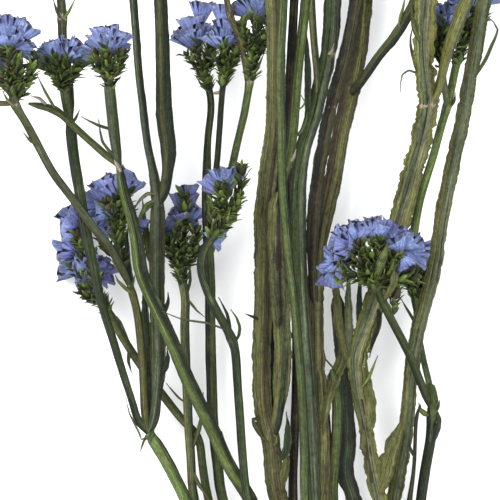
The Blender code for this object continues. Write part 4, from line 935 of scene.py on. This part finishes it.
def grow_mesh(name, seeds, tree, settings):
    """Runs a tree on the seeds' points and edges and leaves a plain mesh of what it makes."""
    data = bpy.data.meshes.new(name)
    data.from_pydata([tuple(p) for p in seeds.points], seeds.edges, [])
    kinds = {1: ("FLOAT", "value"), 3: ("FLOAT_VECTOR", "vector"), 4: ("FLOAT_COLOR", "color")}
    for label, values in seeds.rows.items():
        values = np.asarray(values, np.float32)
        kind, part = kinds[1 if values.ndim == 1 else values.shape[1]]
        data.attributes.new(label, kind, "POINT").data.foreach_set(part, values.ravel())
    source = add_object(name, data)
    run = source.modifiers.new("form", "NODES")
    run.node_group = tree
    for item in tree.interface.items_tree:
        if item.item_type == "SOCKET" and item.in_out == "INPUT" and item.name in settings:
            run[item.identifier] = settings[item.name]
    bpy.context.view_layer.update()
    graph = bpy.context.evaluated_depsgraph_get()
    result = bpy.data.meshes.new_from_object(source.evaluated_get(graph))
    source.modifiers.clear()
    source.data = result
    bpy.data.meshes.remove(data)
    points = np.empty(len(result.vertices) * 3, np.float32)
    result.vertices.foreach_get("co", points)
    points = points.reshape(-1, 3)
    points[:, 2] = np.maximum(points[:, 2], 0.0)
    result.vertices.foreach_set("co", points.ravel())
    result.calc_loop_triangles()
    corners = np.empty(len(result.loop_triangles) * 3, np.int32)
    result.loop_triangles.foreach_get("vertices", corners)
    a, b, c = points[corners.reshape(-1, 3)].transpose(1, 0, 2)
    if np.einsum("ij,ij->i", a, np.cross(b, c)).sum() < 0:
        result.flip_normals()
    result.polygons.foreach_set("use_smooth", np.ones(len(result.polygons), bool))
    return source


def linear(name):
    """A named tone as linear red, green, blue and full opacity."""
    parts = [int(TONES[name][k : k + 2], 16) / 255 for k in (1, 3, 5)]
    return [*(p / 12.92 if p <= 0.04045 else ((p + 0.055) / 1.055) ** 2.4 for p in parts), 1.0]


def world(point):
    """A point of the routes, in mm, in the bunch's own frame, in metres."""
    return np.array([point[0] - CENTRE[0], point[1] - CENTRE[1], point[2]]) * MM


def soften(values, along, reach):
    """Running mean along a line."""
    gaps = along[:, None] - along[None, :]
    weights = np.exp(-0.5 * (gaps / reach) ** 2)
    return weights @ values / weights.sum(axis=1)


def soften_line(line, along, reach):
    """Running mean of a line's three coordinates."""
    return np.column_stack([soften(line[:, axis], along, reach) for axis in range(3)])


def ease_heights(laid):
    """Rounds off each branch's heights, with its foot on its parent and its tip where its head sits."""
    for name, branch in laid.items():
        along = lengths(branch["xy"])
        z = soften(branch["z"], along, EASE_REACH)
        foot, tip = branch["z"][0], branch["z"][-1]
        _, parent, _, thick, *_ = BRANCHES[name]
        if parent:
            foot = laid[parent]["z"][branch["host"]]
        z = z + (foot - z[0]) * np.exp(-((along / EASE_ENDS) ** 2))
        z = z + (tip - z[-1]) * np.exp(-(((along[-1] - along) / EASE_ENDS) ** 2))
        branch["z"] = np.maximum(z, np.minimum(branch["z"], thick + EASE_FLOOR))
    return laid


class Spines:
    """Middle lines of stems and leaves, with what each point of them carries."""

    FIELDS = ("spine", "side", "up", "core", "thick", "wide", "along", "seed", "scar", "ruffle",
              "tone_left", "tone_right", "tone_edge")

    def __init__(self):
        self.points, self.edges = [], []
        self.rows = {label: [] for label in self.FIELDS}

    def add(self, line, core, thick, wide, tones, seed, roll=0.0, scar=None, light=1.0, ruffle=0.25):
        """line in mm of the routes; core, thick and wide in mm for each point."""
        first = len(self.points)
        ahead = unit(np.gradient(line, axis=0))
        flat = unit(np.cross(ahead, SKY))
        rise = np.cross(flat, ahead)
        along = lengths(line)
        turn = np.radians(roll) * np.sin(along / 21.0 + seed)
        side = flat * np.cos(turn)[:, None] + rise * np.sin(turn)[:, None]
        up = rise * np.cos(turn)[:, None] - flat * np.sin(turn)[:, None]
        count = len(line)
        self.points += [world(point) for point in line]
        self.edges += [(first + k, first + k + 1) for k in range(count - 1)]
        shaded = [[(*(light * part for part in linear(tone)[:3]), 1.0)] * count for tone in tones]
        sizes = [np.broadcast_to(size, count) * MM for size in (core, thick, wide)]
        plain = [np.full(count, float(seed)), np.zeros(count) if scar is None else scar,
                 np.full(count, float(ruffle))]
        columns = (self.points[first:], side, up, *sizes, along * MM, *plain, *shaded)
        for label, values in zip(self.FIELDS, columns):
            self.rows[label] += list(values)


def resample(xyz, steps):
    """The line's points at these distances along it."""
    along = lengths(xyz)
    return np.column_stack([np.interp(steps, along, xyz[:, k]) for k in range(xyz.shape[1])])


def middle_line(branch):
    """A laid branch's middle line with its heights."""
    return np.column_stack([branch["xy"], branch["z"]])


def stem_spine(spines, name, branch):
    """Adds one branch's middle line, close-ringed inside the photo's view."""
    _, parent, core, thick, wing, *_, route = BRANCHES[name]
    tones, light, ragged = LOOKS[name]
    xyz = middle_line(branch)
    along = lengths(xyz)
    steps = [0.0]
    while steps[-1] < along[-1] - END_PITCH:
        y = np.interp(steps[-1], along, xyz[:, 1])
        close = WINGED_PITCH if wing else ROUND_PITCH
        steps.append(steps[-1] + (close if abs(y) < VIEW_EDGE else FAR_PITCH))
    steps = np.array([*steps, along[-1]])
    line = resample(xyz, steps)
    line = soften_line(line, steps, END_PITCH)
    line[0], line[-1] = xyz[0], xyz[-1]
    wide = np.interp(steps, along, branch["width"]) if wing > 0 else np.full(len(steps), core)
    full = np.clip((steps[-1] - steps) / 3.0, 0, 1) ** 0.5 * 0.65 + 0.35  # slim at its tip
    forked = any(row[1] == name and math.dist(row[7][0], route[-1]) < 2 for row in BRANCHES.values())
    if forked:
        full = np.maximum(full, 0.62)
    foot, reach = (0.6, 1.2) if parent is None else (0.75, 4.0)
    full = full * (foot + (1 - foot) * np.clip(steps / reach, 0, 1))
    if name in WAIST:
        full = full * np.interp(line[:, 1], *WAIST[name])
    scar = np.zeros(len(steps))
    for other, place in JOINTS:
        if other == name:
            far = np.linalg.norm(line[:, :2] - place, axis=1)
            scar = np.maximum(scar, np.exp(-((far / SCAR_REACH) ** 2)))
    swell = 1 + (0.35 if forked else 0.22) * scar
    seed = (sum(map(ord, name)) * 0.37) % 7.0
    spines.add(line, core * full * swell, thick * full * swell, wide * full, tones, seed,
               roll=WING_ROLL if wing > 0 else 0.0, scar=scar, light=light, ruffle=ragged)


def leaf_spine(spines, number, laid):
    """Adds one leaf tip, tendril or strip of painted shade, which leaves its branch's surface and rises, or
    with a negative rise sinks under it.
    """
    branch, tone, half, rise, *route = LEAVES[number]
    host = laid[branch]
    xy = smooth_route(route)
    near = nearest(host["xy"], xy[0])
    along = lengths(xy)
    steps = np.linspace(0, along[-1], max(8, int(along[-1] / LEAF_PITCH)))
    flat = resample(xy, steps)
    share = steps / steps[-1]
    top = host["z"][near] + (0.5 if rise >= 0 else -0.3)  # over or under its branch's middle
    z = top + rise * np.sin(share * math.pi * 0.62)
    line = np.column_stack([flat, z])
    line[0, :2] = 0.45 * line[0, :2] + 0.55 * host["xy"][near]  # its foot sits inside the branch
    form = np.sin(np.clip(share * 0.86 + 0.14, 0, 1) ** 0.8 * math.pi) ** 0.8
    form = np.maximum(form, 0.12)
    core = np.full(len(line), min(0.42, half)) * np.maximum(form, 0.3)
    wide = np.maximum(half * form, core)
    thin = np.maximum(core * 0.8, 0.16)
    other = {"bone": "pale", "dark": "green"}.get(tone, "olive")
    spines.add(line, core, thin, wide, (tone, tone, other), number * 1.7, roll=25.0, light=0.85, ruffle=0.6)


def attribute(tree, name, output="Vector"):
    """A value that the mesh carries."""
    return add_node(tree, "ShaderNodeAttribute", output, {"attribute_name": name})


def shares(tree, *names):
    """Values between 0 and 1 that the mesh carries."""
    return [attribute(tree, name, "Fac") for name in names]


def own_place(tree):
    """Where a point is in its own piece."""
    return add_node(tree, "ShaderNodeTexCoord", "Object")


def drawn_out(tree, grain, around, along, detail, rough):
    """A noise that is drawn out along a stem."""
    return noise(tree, grain.vector("MULTIPLY", (around, around, along)), 1.0, detail, rough)


def blend_tones(tree, share, first, second):
    """The first tone where the share is 0, the second where it is 1; a tone may be a name or a field."""
    made = tree.nodes.new("ShaderNodeMix")
    made.data_type = "RGBA"
    for slot, value in ((0, share), (6, first), (7, second)):
        feed(tree, made.inputs[slot], linear(value) if isinstance(value, str) else value)
    return Field(tree, made.outputs[2])


def brighten(tree, tone, amount, hue=0.5, saturation=1.0):
    """The tone at another brightness; a hue of 0.5 leaves it as it is."""
    return add_node(tree, "ShaderNodeHueSaturation", Color=tone, Value=amount, Saturation=saturation, Hue=hue)


def new_material(name):
    """A material, its tree and its shader."""
    made = bpy.data.materials.new(name)
    made.use_nodes = True
    return made, made.node_tree, made.node_tree.nodes["Principled BSDF"]


def coat(tree, shader, tone, rough, height, strength, depth):
    """Joins tone, roughness and relief to the shader."""
    bump = add_node(tree, "ShaderNodeBump", Strength=strength, Distance=depth, Height=height)
    for label, value in (("Base Color", tone), ("Roughness", rough), ("Normal", bump)):
        feed(tree, shader.inputs[label], value)


def stem_material(name):
    """Dry ribbed stem: a tone each side, partly painted light and shade; painted shade in its black furrows
    and cracks and towards its sides; painted highlights and shade along its ridges; fringed edges and pale
    torn scars at the joints.
    """
    made, tree, shader = new_material(name)
    grain = attribute(tree, "grain")
    edge, lit, scar, furrow = shares(tree, "edge", "lit", "scar", "furrow")
    spot = own_place(tree)
    band = drawn_out(tree, grain, 1.6, 0.3, 3.0, 0.55)
    streak = drawn_out(tree, grain, 5.0, 1.2, 4.0, 0.65)
    fine = drawn_out(tree, grain, 7.0, 7.0, 4.0, 0.75)
    line = drawn_out(tree, grain, 4.2, 0.4, 2.0, 0.5)
    ridge_light_and_shade = drawn_out(tree, grain, 3.4, 0.3, 3.0, 0.6)
    fleck = noise(tree, spot, 900.0, 3.0, 0.7)
    patch = noise(tree, spot, 160.0, 5.0, 0.7)
    blotch = noise(tree, spot.vector("MULTIPLY", (1.0, 0.35, 1.0)), 270.0, 4.0, 0.65)
    # painted light and shade: the left tone runs into the right tone across the stem, one side lit and the
    # other shaded, along with its own colour bands
    across = (lit * 1.4 + 0.5 + band * 2.0 + streak * 1.4 + patch * 0.8).limit()
    left, right, rim = [attribute(tree, "tone_" + side, "Color") for side in ("left", "right", "edge")]
    tone = blend_tones(tree, across, left, right)
    wing = ((edge - 0.6) * 4.0 + patch * 1.6 + streak).limit() * 0.85
    tone = blend_tones(tree, wing, tone, rim)
    dusty = (patch * 2.0 - band * 2.2 + fine * 1.2 - 0.15).limit() * 0.5
    tone = blend_tones(tree, dusty, tone, "dust")
    # painted highlight on the lighter ridge bands, and painted shade in the darker bands beside them
    tone = blend_tones(tree, (ridge_light_and_shade * 6.0 - 0.2).limit() * 0.55, tone, brighten(tree, tone, 2.1))
    tone = blend_tones(tree, (ridge_light_and_shade * -6.0 - 0.25).limit() * 0.75, tone, brighten(tree, tone, 0.28))
    stained = (blotch * 3.6 + band * 3.4 + streak * 1.8 - 0.26).limit() * 0.8
    tone = blend_tones(tree, stained, tone, "stain")
    fringe = ((edge - 0.93) * 14.0 + blotch * 5.0 - 0.6).limit() * 0.7
    tone = blend_tones(tree, fringe, tone, "fringe")
    # painted shade: the furrows and the thin crack lines are darkened, as shade falls in them
    crack_and_furrow_shade = (1.0 - line.abs() * 22.0).limit() * (patch * 3.0 + 0.55).limit()
    furrow_shade = (furrow * 1.7 + streak * 1.2 - 0.5).limit() * 0.8
    tone = blend_tones(tree, furrow_shade.math("MAXIMUM", crack_and_furrow_shade * 0.8), tone, "crack_and_furrow_shade")
    # painted shade: each stem darker towards its sides, as on a lit round stem, its wings less so
    painted_side_shade = 1.22 - (lit * lit - edge * edge) * 0.92 - edge * edge * 0.34
    value = (streak * 3.0 + fine * 2.8 + fleck * 1.6 + patch * 1.2 + 1.02).limit(0.14, 2.3) * painted_side_shade
    tone = brighten(tree, tone, value, patch * 0.05 + 0.5)
    worn = noise(tree, spot, 260.0, 4.0, 0.75) * 4.4 + band * 1.4 + streak
    torn = ((scar * 1.35 + worn - 1.4) * 3.0).limit() * 0.62
    tone = blend_tones(tree, torn, tone, "scar")
    height = streak * 1.4 + fine * 1.1 + patch * 0.6 - furrow * 0.7 - crack_and_furrow_shade * 0.4
    coat(tree, shader, tone, (fine * 0.6 + 0.68).limit(0.45, 0.9), height, 0.9, 0.0007)
    shader.inputs["Specular IOR Level"].default_value = 0.22
    return made


def bract_material(name):
    """Scaly bract: green down the keel, papery and paler towards its edges and tip, some gone brown."""
    made, tree, shader = new_material(name)
    edge, own, shade, reach = shares(tree, "edge", "own", "shade", "reach")
    streak = drawn_out(tree, attribute(tree, "grain"), 7.0, 0.8, 3.0, 0.6)
    patch = noise(tree, own_place(tree), 320.0, 4.0, 0.65)
    tone = blend_tones(tree, (own * 1.4 + patch * 1.6 + 0.05).limit(), "keel", "keel_dark")
    tone = blend_tones(tree, ((own - 0.91) * 12.0).limit(), tone, "withered")
    rim = ((edge + patch * 1.2 - 0.5) * 2.0).limit() * 0.45
    tone = blend_tones(tree, rim, tone, "paper_rim")
    value = (streak * 2.0 + shade * 0.6 + reach * 0.5 + patch + 0.34).limit(0.2, 1.6)
    tone = brighten(tree, tone, value)
    coat(tree, shader, tone, (streak * 0.4 + 0.6).limit(0.4, 0.85), streak + patch * 0.6, 0.6, 0.0004)
    shader.inputs["Specular IOR Level"].default_value = 0.2
    return made


def calyx_material(name):
    """Papery blue calyx: darker lines along the pleat folds, partly its veins and partly painted shade, and
    pleat crests paler as painted light, from the throat to a lighter, greyer rim.
    """
    made, tree, shader = new_material(name)
    petal = attribute(tree, "petal")
    own, shade, fold = shares(tree, "own", "shade", "fold")
    spot = own_place(tree)
    v = petal.part(2)
    angle = petal.part(1).math("ARCTAN2", petal.part(0))
    wobble = noise(tree, spot, 380.0, 2.0, 0.6)
    # darker lines along the pleat folds: partly the calyx's veins, partly painted shade in the folds
    vein_and_crease_shade = (1.0 - (angle * 6.0 + wobble * 1.6).sin().abs() ** 0.4) * ((1.04 - v) * 5.0).limit(0.25, 1.0)
    hair = (angle * 21.0 + wobble * 5.0).sin() * 0.5 + 0.5
    paper = noise(tree, spot, 1700.0, 4.0, 0.65)
    cloud = noise(tree, spot, 230.0, 3.0, 0.6)
    # the fold term makes the pleat crests paler: painted light
    pale = (cloud * 1.8 + fold * 0.25 + shade * 0.4 + 0.3).limit()
    tone = blend_tones(tree, pale, "blue", "blue_light")
    tone = blend_tones(tree, (hair * 0.3 + paper * 0.6).limit(), tone, "blue_hair")
    tone = blend_tones(tree, (vein_and_crease_shade * 1.25 - 0.1).limit() * 0.6, tone, "vein_and_fold_shade")
    throat = ((0.55 - v) * 3.0 + wobble).limit() * 0.6
    tone = blend_tones(tree, throat, tone, "throat")
    # paler and greyer towards the rim
    rim = ((v - 0.9) * 8.0 + paper * 1.6).limit() * 0.4
    tone = blend_tones(tree, rim, tone, "pale_rim")
    value = (shade * 0.2 + 0.365 + paper * 0.6 + cloud * 0.8 + hair * 0.08).limit(0.2, 1.0)
    tone = brighten(tree, tone, value, own.sin() * 0.008 + 0.5, 0.94)
    height = paper * 0.8 + hair * 0.35 - vein_and_crease_shade
    coat(tree, shader, tone, (paper * 0.5 + 0.68).limit(0.45, 0.9), height, 0.6, 0.0004)
    shader.inputs["Specular IOR Level"].default_value = 0.3
    shader.inputs["Sheen Weight"].default_value = 0.1
    shader.inputs["Sheen Roughness"].default_value = 0.5
    return made


def twine_material(name):
    """Jute: straw-coloured fibres along each twisted strand."""
    made, tree, shader = new_material(name)
    fibre = drawn_out(tree, attribute(tree, "grain"), 9.0, 2.4, 4.0, 0.7)
    patch = noise(tree, own_place(tree), 220.0, 3.0, 0.6)
    tone = blend_tones(tree, (fibre * 1.6 + patch + 0.5).limit(), "jute_dark", "jute_light")
    tone = brighten(tree, tone, (fibre * 0.9 + 1.0).limit(0.55, 1.4))
    coat(tree, shader, tone, (fibre * 0.3 + 0.82).limit(0.6, 0.98), fibre, 0.8, 0.0004)
    shader.inputs["Specular IOR Level"].default_value = 0.2
    shader.inputs["Sheen Weight"].default_value = 0.3
    return made


def join_meshes(name, made):
    """One object with this name out of several."""
    made = [item for item in made if len(item.data.polygons)]
    if len(made) > 1:
        with bpy.context.temp_override(active_object=made[0], object=made[0], selected_objects=made,
                                       selected_editable_objects=made):
            bpy.ops.object.join()
    made[0].name = name
    made[0].data.name = name
    return made[0]


class Tufts:
    """Points that carry a calyx or a bract each."""

    def __init__(self):
        self.points, self.edges = [], []
        self.rows = {label: [] for label in ("turned", "wide", "flat", "long", "own", "shade")}

    def add(self, point, out, up, wide=1.0, flat=1.0, long=1.0, own=0.0, shade=0.5):
        """out is where the mouth or tip points, up is the way of the face that is pressed flatter."""
        out = out / np.linalg.norm(out)
        across = np.cross(up, out)
        across /= max(np.linalg.norm(across), 1e-6)
        face = np.cross(out, across)
        turned = Matrix((across, face, out)).transposed().to_euler("XYZ")
        self.points.append(world(point))
        for values, value in zip(self.rows.values(), (tuple(turned), wide, flat, long, own, shade)):
            values.append(value)


def scale_line(bracts, line, count, rng, spread=0.55, size=1.0):
    """Overlapping green scales all round a twig, all pointing along it."""
    total = lengths(line)[-1]
    count = int(count * 1.5)
    for k in range(count):
        at = total * (k + 0.5) / count
        foot = resample(line, np.array([max(at - 0.4, 0), min(at + 0.4, total)]))
        ahead = foot[1] - foot[0]
        ahead /= np.linalg.norm(ahead)
        flat = np.cross(ahead, SKY)
        flat /= np.linalg.norm(flat)
        rise = np.cross(flat, ahead)
        turn = k * 2.4 + rng.normal(0, 0.3)
        lean = flat * math.cos(turn) + rise * math.sin(turn)
        way = ahead + lean * spread * rng.uniform(0.35, 1.1)
        bracts.add(foot[0] + lean * rng.uniform(0.4, 1.0), way, lean, size * rng.uniform(0.9, 1.7), 1.0,
                   size * rng.uniform(0.42, 0.78), rng.uniform(0, 1), rng.uniform(0, 1))


def twig_to(stalk, tip, centre):
    """Line of a twig from a little below the stalk's tip to a head's centre."""
    run = lengths(stalk)[-1]
    foot = resample(stalk, np.array([run - 4.0, run - 2.0]))
    line = np.array([*foot, tip * 0.6 + centre * 0.4 + [0, 0, 0.8], centre])
    line = resample(line, np.linspace(0, lengths(line)[-1], TWIG_POINTS))
    return soften_line(line, lengths(line), 0.9)


def fill_rims(rims, centres, rng):
    """Adds further calyces between those that are listed, where there is room."""
    listed = len(rims)
    for _ in range(listed * FILL_TRIES):
        (one, _), (two, _) = rims[rng.integers(listed)], rims[rng.integers(listed)]
        share = rng.uniform(0.25, 0.75)
        if not 1 < np.linalg.norm(one - two) < 12:
            continue
        rim = one * share + two * (1 - share)
        near = nearest(centres, rim)
        centre = centres[near]
        reach = (np.linalg.norm(one - centre) + np.linalg.norm(two - centre)) / 2
        way = (rim - centre) / max(np.linalg.norm(rim - centre), 1e-6)
        rim = centre + way * min(reach, FILL_REACH) * rng.uniform(0.9, 1.0) + rng.normal(0, 0.4, 3)
        if all(np.linalg.norm(rim - other) > FILL_ROOM for other, _ in rims):
            rims.append((rim, near))


def dress_head(name, laid, bracts, twigs):
    """Calyces of one head; its green bracts and twigs go to the stem."""
    branch, middle, calyces, tips = head_calyces(name, laid)
    rng = np.random.default_rng(sum(map(ord, name)))
    stalk = middle_line(laid[branch])
    tip = stalk[-1]
    centres = np.array([tip + [*m, -CORE_DROP] for m in middle])
    scale = TOPS[name][1] * 0.9 if name in TOPS else 1.0
    slim, thin = np.linspace(0.75, 0.5, TWIG_POINTS), np.linspace(0.7, 0.5, TWIG_POINTS)
    for k, centre in enumerate(centres):
        line = twig_to(stalk, tip, centre)
        twigs.add(line, slim, thin, slim, ("green", "dark", "dark"), k * 1.3, light=0.8)
        scale_line(bracts, line[4:], 12, rng, 0.6, 0.85)
    blue = Tufts()
    rims = []
    for c in calyces:
        rim = tip + [c[0], c[1], c[2] - CORE_DROP]
        if name in RESTING and c[2] == calyces[:, 2].min():
            rim[2] = CALYX_R * scale * CALYX_FLAT * 0.93 - FLAT
        rims.append((rim, nearest(middle, c[:2])))
    listed = len(rims)
    if name not in OPEN_HEADS:
        fill_rims(rims, centres, rng)
    for k, (rim, near) in enumerate(rims):
        out = rim - centres[near]
        out = out * [1, 1, 0.4] + rng.normal(0, 0.35, 3)
        reach = np.linalg.norm(out)
        up = SKY + rng.normal(0, 0.25, 3)
        wide = scale * rng.uniform(0.98, 1.2) * (1.0 if k < listed else 0.92)
        blue.add(rim, out, up, wide, wide * rng.uniform(0.42, 0.62), np.clip(reach / CALYX_LONG, 0.7, 1.1),
                 rng.uniform(0, ROUND), rng.uniform(0, 1))
        way = out / reach
        flat = np.cross(way, SKY)
        flat /= max(np.linalg.norm(flat), 1e-6)
        rise = np.cross(flat, way)
        turn = rng.uniform(0, ROUND)
        for _ in range(BRACT_STEPS):
            turn += 0.8
            lean = flat * math.cos(turn) + rise * math.sin(turn)
            foot = rim - way * max(reach, 5.4) * rng.uniform(0.95, 1.1) + lean * 0.5
            bracts.add(foot, way + lean * rng.uniform(0.0, 0.25), lean, rng.uniform(1.0, 1.6), 1.0,
                       rng.uniform(0.4, 0.65), rng.uniform(0, 1), rng.uniform(0, 1))
    for head, (x, y), way, wide in LOOSE:
        if "head_" + head == name:
            rim = np.array([x, y, centres[:, 2].max() + 2.2])
            blue.add(rim, np.array([*way, 0.15]), SKY, scale * wide, scale * wide * 0.5, 0.85, x,
                     (x * 0.7 + y) % 1.0)
    for t in tips:
        end = tip + [t[0], t[1], TIP_RISE * np.linalg.norm(t)]
        line = np.array([tip, (tip + end) / 2 + [0, 0, 0.5], end])
        scale_line(bracts, line, 12, rng, 0.5, 0.8)
    stretch, count = SCALY.get(name, (3.5, 20))
    run = lengths(stalk)[-1]
    scale_line(bracts, resample(stalk, np.linspace(run - stretch, run, 6)), count, rng)
    for head, count, rise, *route in TWIGS:
        if "head_" + head == name:
            xy = smooth_route(route)
            share = lengths(xy) / lengths(xy)[-1]
            z = tip[2] - 1.5 + rise * share
            scale_line(bracts, np.column_stack([xy, np.maximum(z, 1.2)]), count, rng)
    return blue


def bud_tips(laid, bracts):
    """Small scaly buds on the shoots that end above the photo's view and carry no head."""
    busy = {row[0] for row in (HEADS | TOPS).values()} | {row[1] for row in BRANCHES.values()}
    rng = np.random.default_rng(5)
    for name, branch in laid.items():
        if name in busy or branch["xy"][-1][1] < VIEW_EDGE:
            continue
        stalk = middle_line(branch)
        run = lengths(stalk)[-1]
        end = resample(stalk, np.linspace(run - 4.5, run - 0.5, 6))  # the last 4.5 mm
        scale_line(bracts.setdefault(BRANCHES[name][0], Tufts()), end, 18, rng, 0.5, 0.9)


def twine_lines(laid):
    """The twine's middle lines: close turns round the bunch, the knot's loop and two short ends."""
    inner, outer = tie_outlines(laid)
    ring = [(np.array(a) + np.array(b)) / 2 for a, b in zip(inner, outer)]
    ring = np.array(ring + ring[:1])
    along = lengths(ring)
    steps = np.linspace(0, TIE_TURNS, TURN_POINTS * TIE_TURNS)
    lap = steps % 1.0
    x = np.interp(lap * along[-1], along, ring[:, 0])
    z = np.interp(lap * along[-1], along, ring[:, 1])
    y = TIE_Y + TWINE * TURN_PITCH * (steps - TIE_TURNS / 2)
    path = np.column_stack([x, y, z])
    path = soften_line(path, lengths(path), 1.2)
    top = path[np.argmax(path[:, 2])]
    knot = top + [0, 0, 0.9]
    turn = np.linspace(0, 2.6 * math.pi, 40)
    loop = knot + np.column_stack(
        [2.3 * np.sin(turn), 1.9 * TWINE * np.cos(turn) * 0.9, 0.6 * np.sin(turn * 2)])
    ends = []
    for way, reach in ((-1, 15.0), (1, 11.0)):
        share = np.linspace(0, 1, 30)
        ends.append(knot + np.column_stack([
            way * (1.0 + reach * share ** 1.2), -3.0 * way * share - 6.0 * share ** 2,
            0.6 * np.sin(share * 3.0) - 4.5 * share ** 2]))
    return [path, loop, *ends]


def tie_piece(laid, tree, paint):
    """The twine as three twisted plies."""
    spines = Spines()
    for path in twine_lines(laid):
        run = lengths(path)
        ahead = unit(np.gradient(path, axis=0))
        across = unit(np.cross(ahead, (0.1, 1, 0.2)))
        up = np.cross(across, ahead)
        for ply in range(3):
            turn = run / PLY_LAY * math.tau + ply * math.tau / 3
            line = path + (across * np.cos(turn)[:, None] + up * np.sin(turn)[:, None]) * TWINE * PLY_OUT
            spines.add(line, *[TWINE * PLY_HALF] * 3, ["bone"] * 3, ply * 2.0)
    settings = {"Sides": 12, "Furrows": 6.0, "Furrow depth": 0.12, "Material": paint}
    return grow_mesh("tie_twine", spines, tree, settings)


def set_camera_and_lights():
    """A long lens straight above the photo's middle, and two soft lamps under a pale sky."""
    data = bpy.data.cameras.new("overhead")
    data.lens = SENSOR * CAMERA_UP / (VIEW_MM * MM)
    data.sensor_width = SENSOR
    data.clip_end = 40.0
    camera = add_object("overhead", data)
    camera.location = (-CENTRE[0] * MM, -CENTRE[1] * MM, CAMERA_UP + 0.012)
    bpy.context.scene.camera = camera
    for name, size, place, power in (
        ("window_light", 0.7, (-0.55, 0.5, 0.9), 17.0), ("fill_light", 1.2, (0.7, -0.4, 1.0), 8.0)):
        lamp = bpy.data.lights.new(name, "AREA")
        lamp.size = size
        lamp.energy = power
        item = add_object(name, lamp)
        item.location = place
        item.rotation_euler = (-Vector(place)).to_track_quat("-Z", "Y").to_euler()
    sky = bpy.data.worlds.new("soft_studio")
    sky.use_nodes = True
    background = sky.node_tree.nodes["Background"]
    background.inputs["Color"].default_value = (0.97, 0.985, 1.0, 1)
    background.inputs["Strength"].default_value = 1.5
    bpy.context.scene.world = sky
    bpy.context.scene.view_settings.view_transform = "Standard"


def pale_table():
    """The floor: a plain square top."""
    data = bpy.data.meshes.new("pale_table")
    w = 1.5  # metres from its middle to its sides
    data.from_pydata([(-w, -w, 0), (w, -w, 0), (w, w, 0), (-w, w, 0)], [], [(0, 1, 2, 3)])
    made, tree, shader = new_material("pale_table_top")
    cloud = noise(tree, own_place(tree), 3.0, 2.0, 0.5)
    tone = blend_tones(tree, cloud + 0.5, (0.94, 0.94, 0.94, 1), (0.97, 0.97, 0.97, 1))
    feed(tree, shader.inputs["Base Color"], tone)
    shader.inputs["Roughness"].default_value = 0.9
    data.materials.append(made)
    add_object("pale_table", data)


def main():
    """Lays the bunch, then dresses its heads, its stems and its tie."""
    laid = ease_heights(lay())
    stem_skin = stem_material("dry_striped_stem")
    scale_leaf = bract_material("papery_green_bract")
    blue_paper = calyx_material("papery_blue_calyx")
    jute = twine_material("jute_twine")
    stem_form, calyx_form, bract_form = stem_tree(), calyx_tree(), bract_tree()
    spines, bracts, twigs = {}, {}, {}
    for name, row in BRANCHES.items():
        stem_spine(spines.setdefault(row[0], Spines()), name, laid[name])
    for number, row in enumerate(LEAVES):
        leaf_spine(spines[BRANCHES[row[0]][0]], number, laid)
    for name, row in (HEADS | TOPS).items():
        stem = BRANCHES[row[0]][0]
        blue = dress_head(name, laid, bracts.setdefault(stem, Tufts()), twigs.setdefault(stem, Spines()))
        piece = grow_mesh(name + "_calyces", blue, calyx_form, {"Material": blue_paper})
        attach(piece, "root")
        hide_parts(name)
    bud_tips(laid, bracts)
    for stem, lines in spines.items():
        parts = [grow_mesh(stem + "_skin", lines, stem_form, {"Material": stem_skin})]
        if stem in bracts:
            parts.append(grow_mesh(stem + "_bracts", bracts[stem], bract_form, {"Material": scale_leaf}))
        if stem in twigs:
            settings = {"Sides": 9, "Furrows": 3.0, "Material": stem_skin}
            parts.append(grow_mesh(stem + "_twigs", twigs[stem], stem_form, settings))
        piece = join_meshes(stem + "_dressed", parts)
        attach(piece, "root")
        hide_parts(stem)
    tie = tie_piece(laid, stem_form, jute)
    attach(tie, "root")
    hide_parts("tie")
    pale_table()
    set_camera_and_lights()


main()
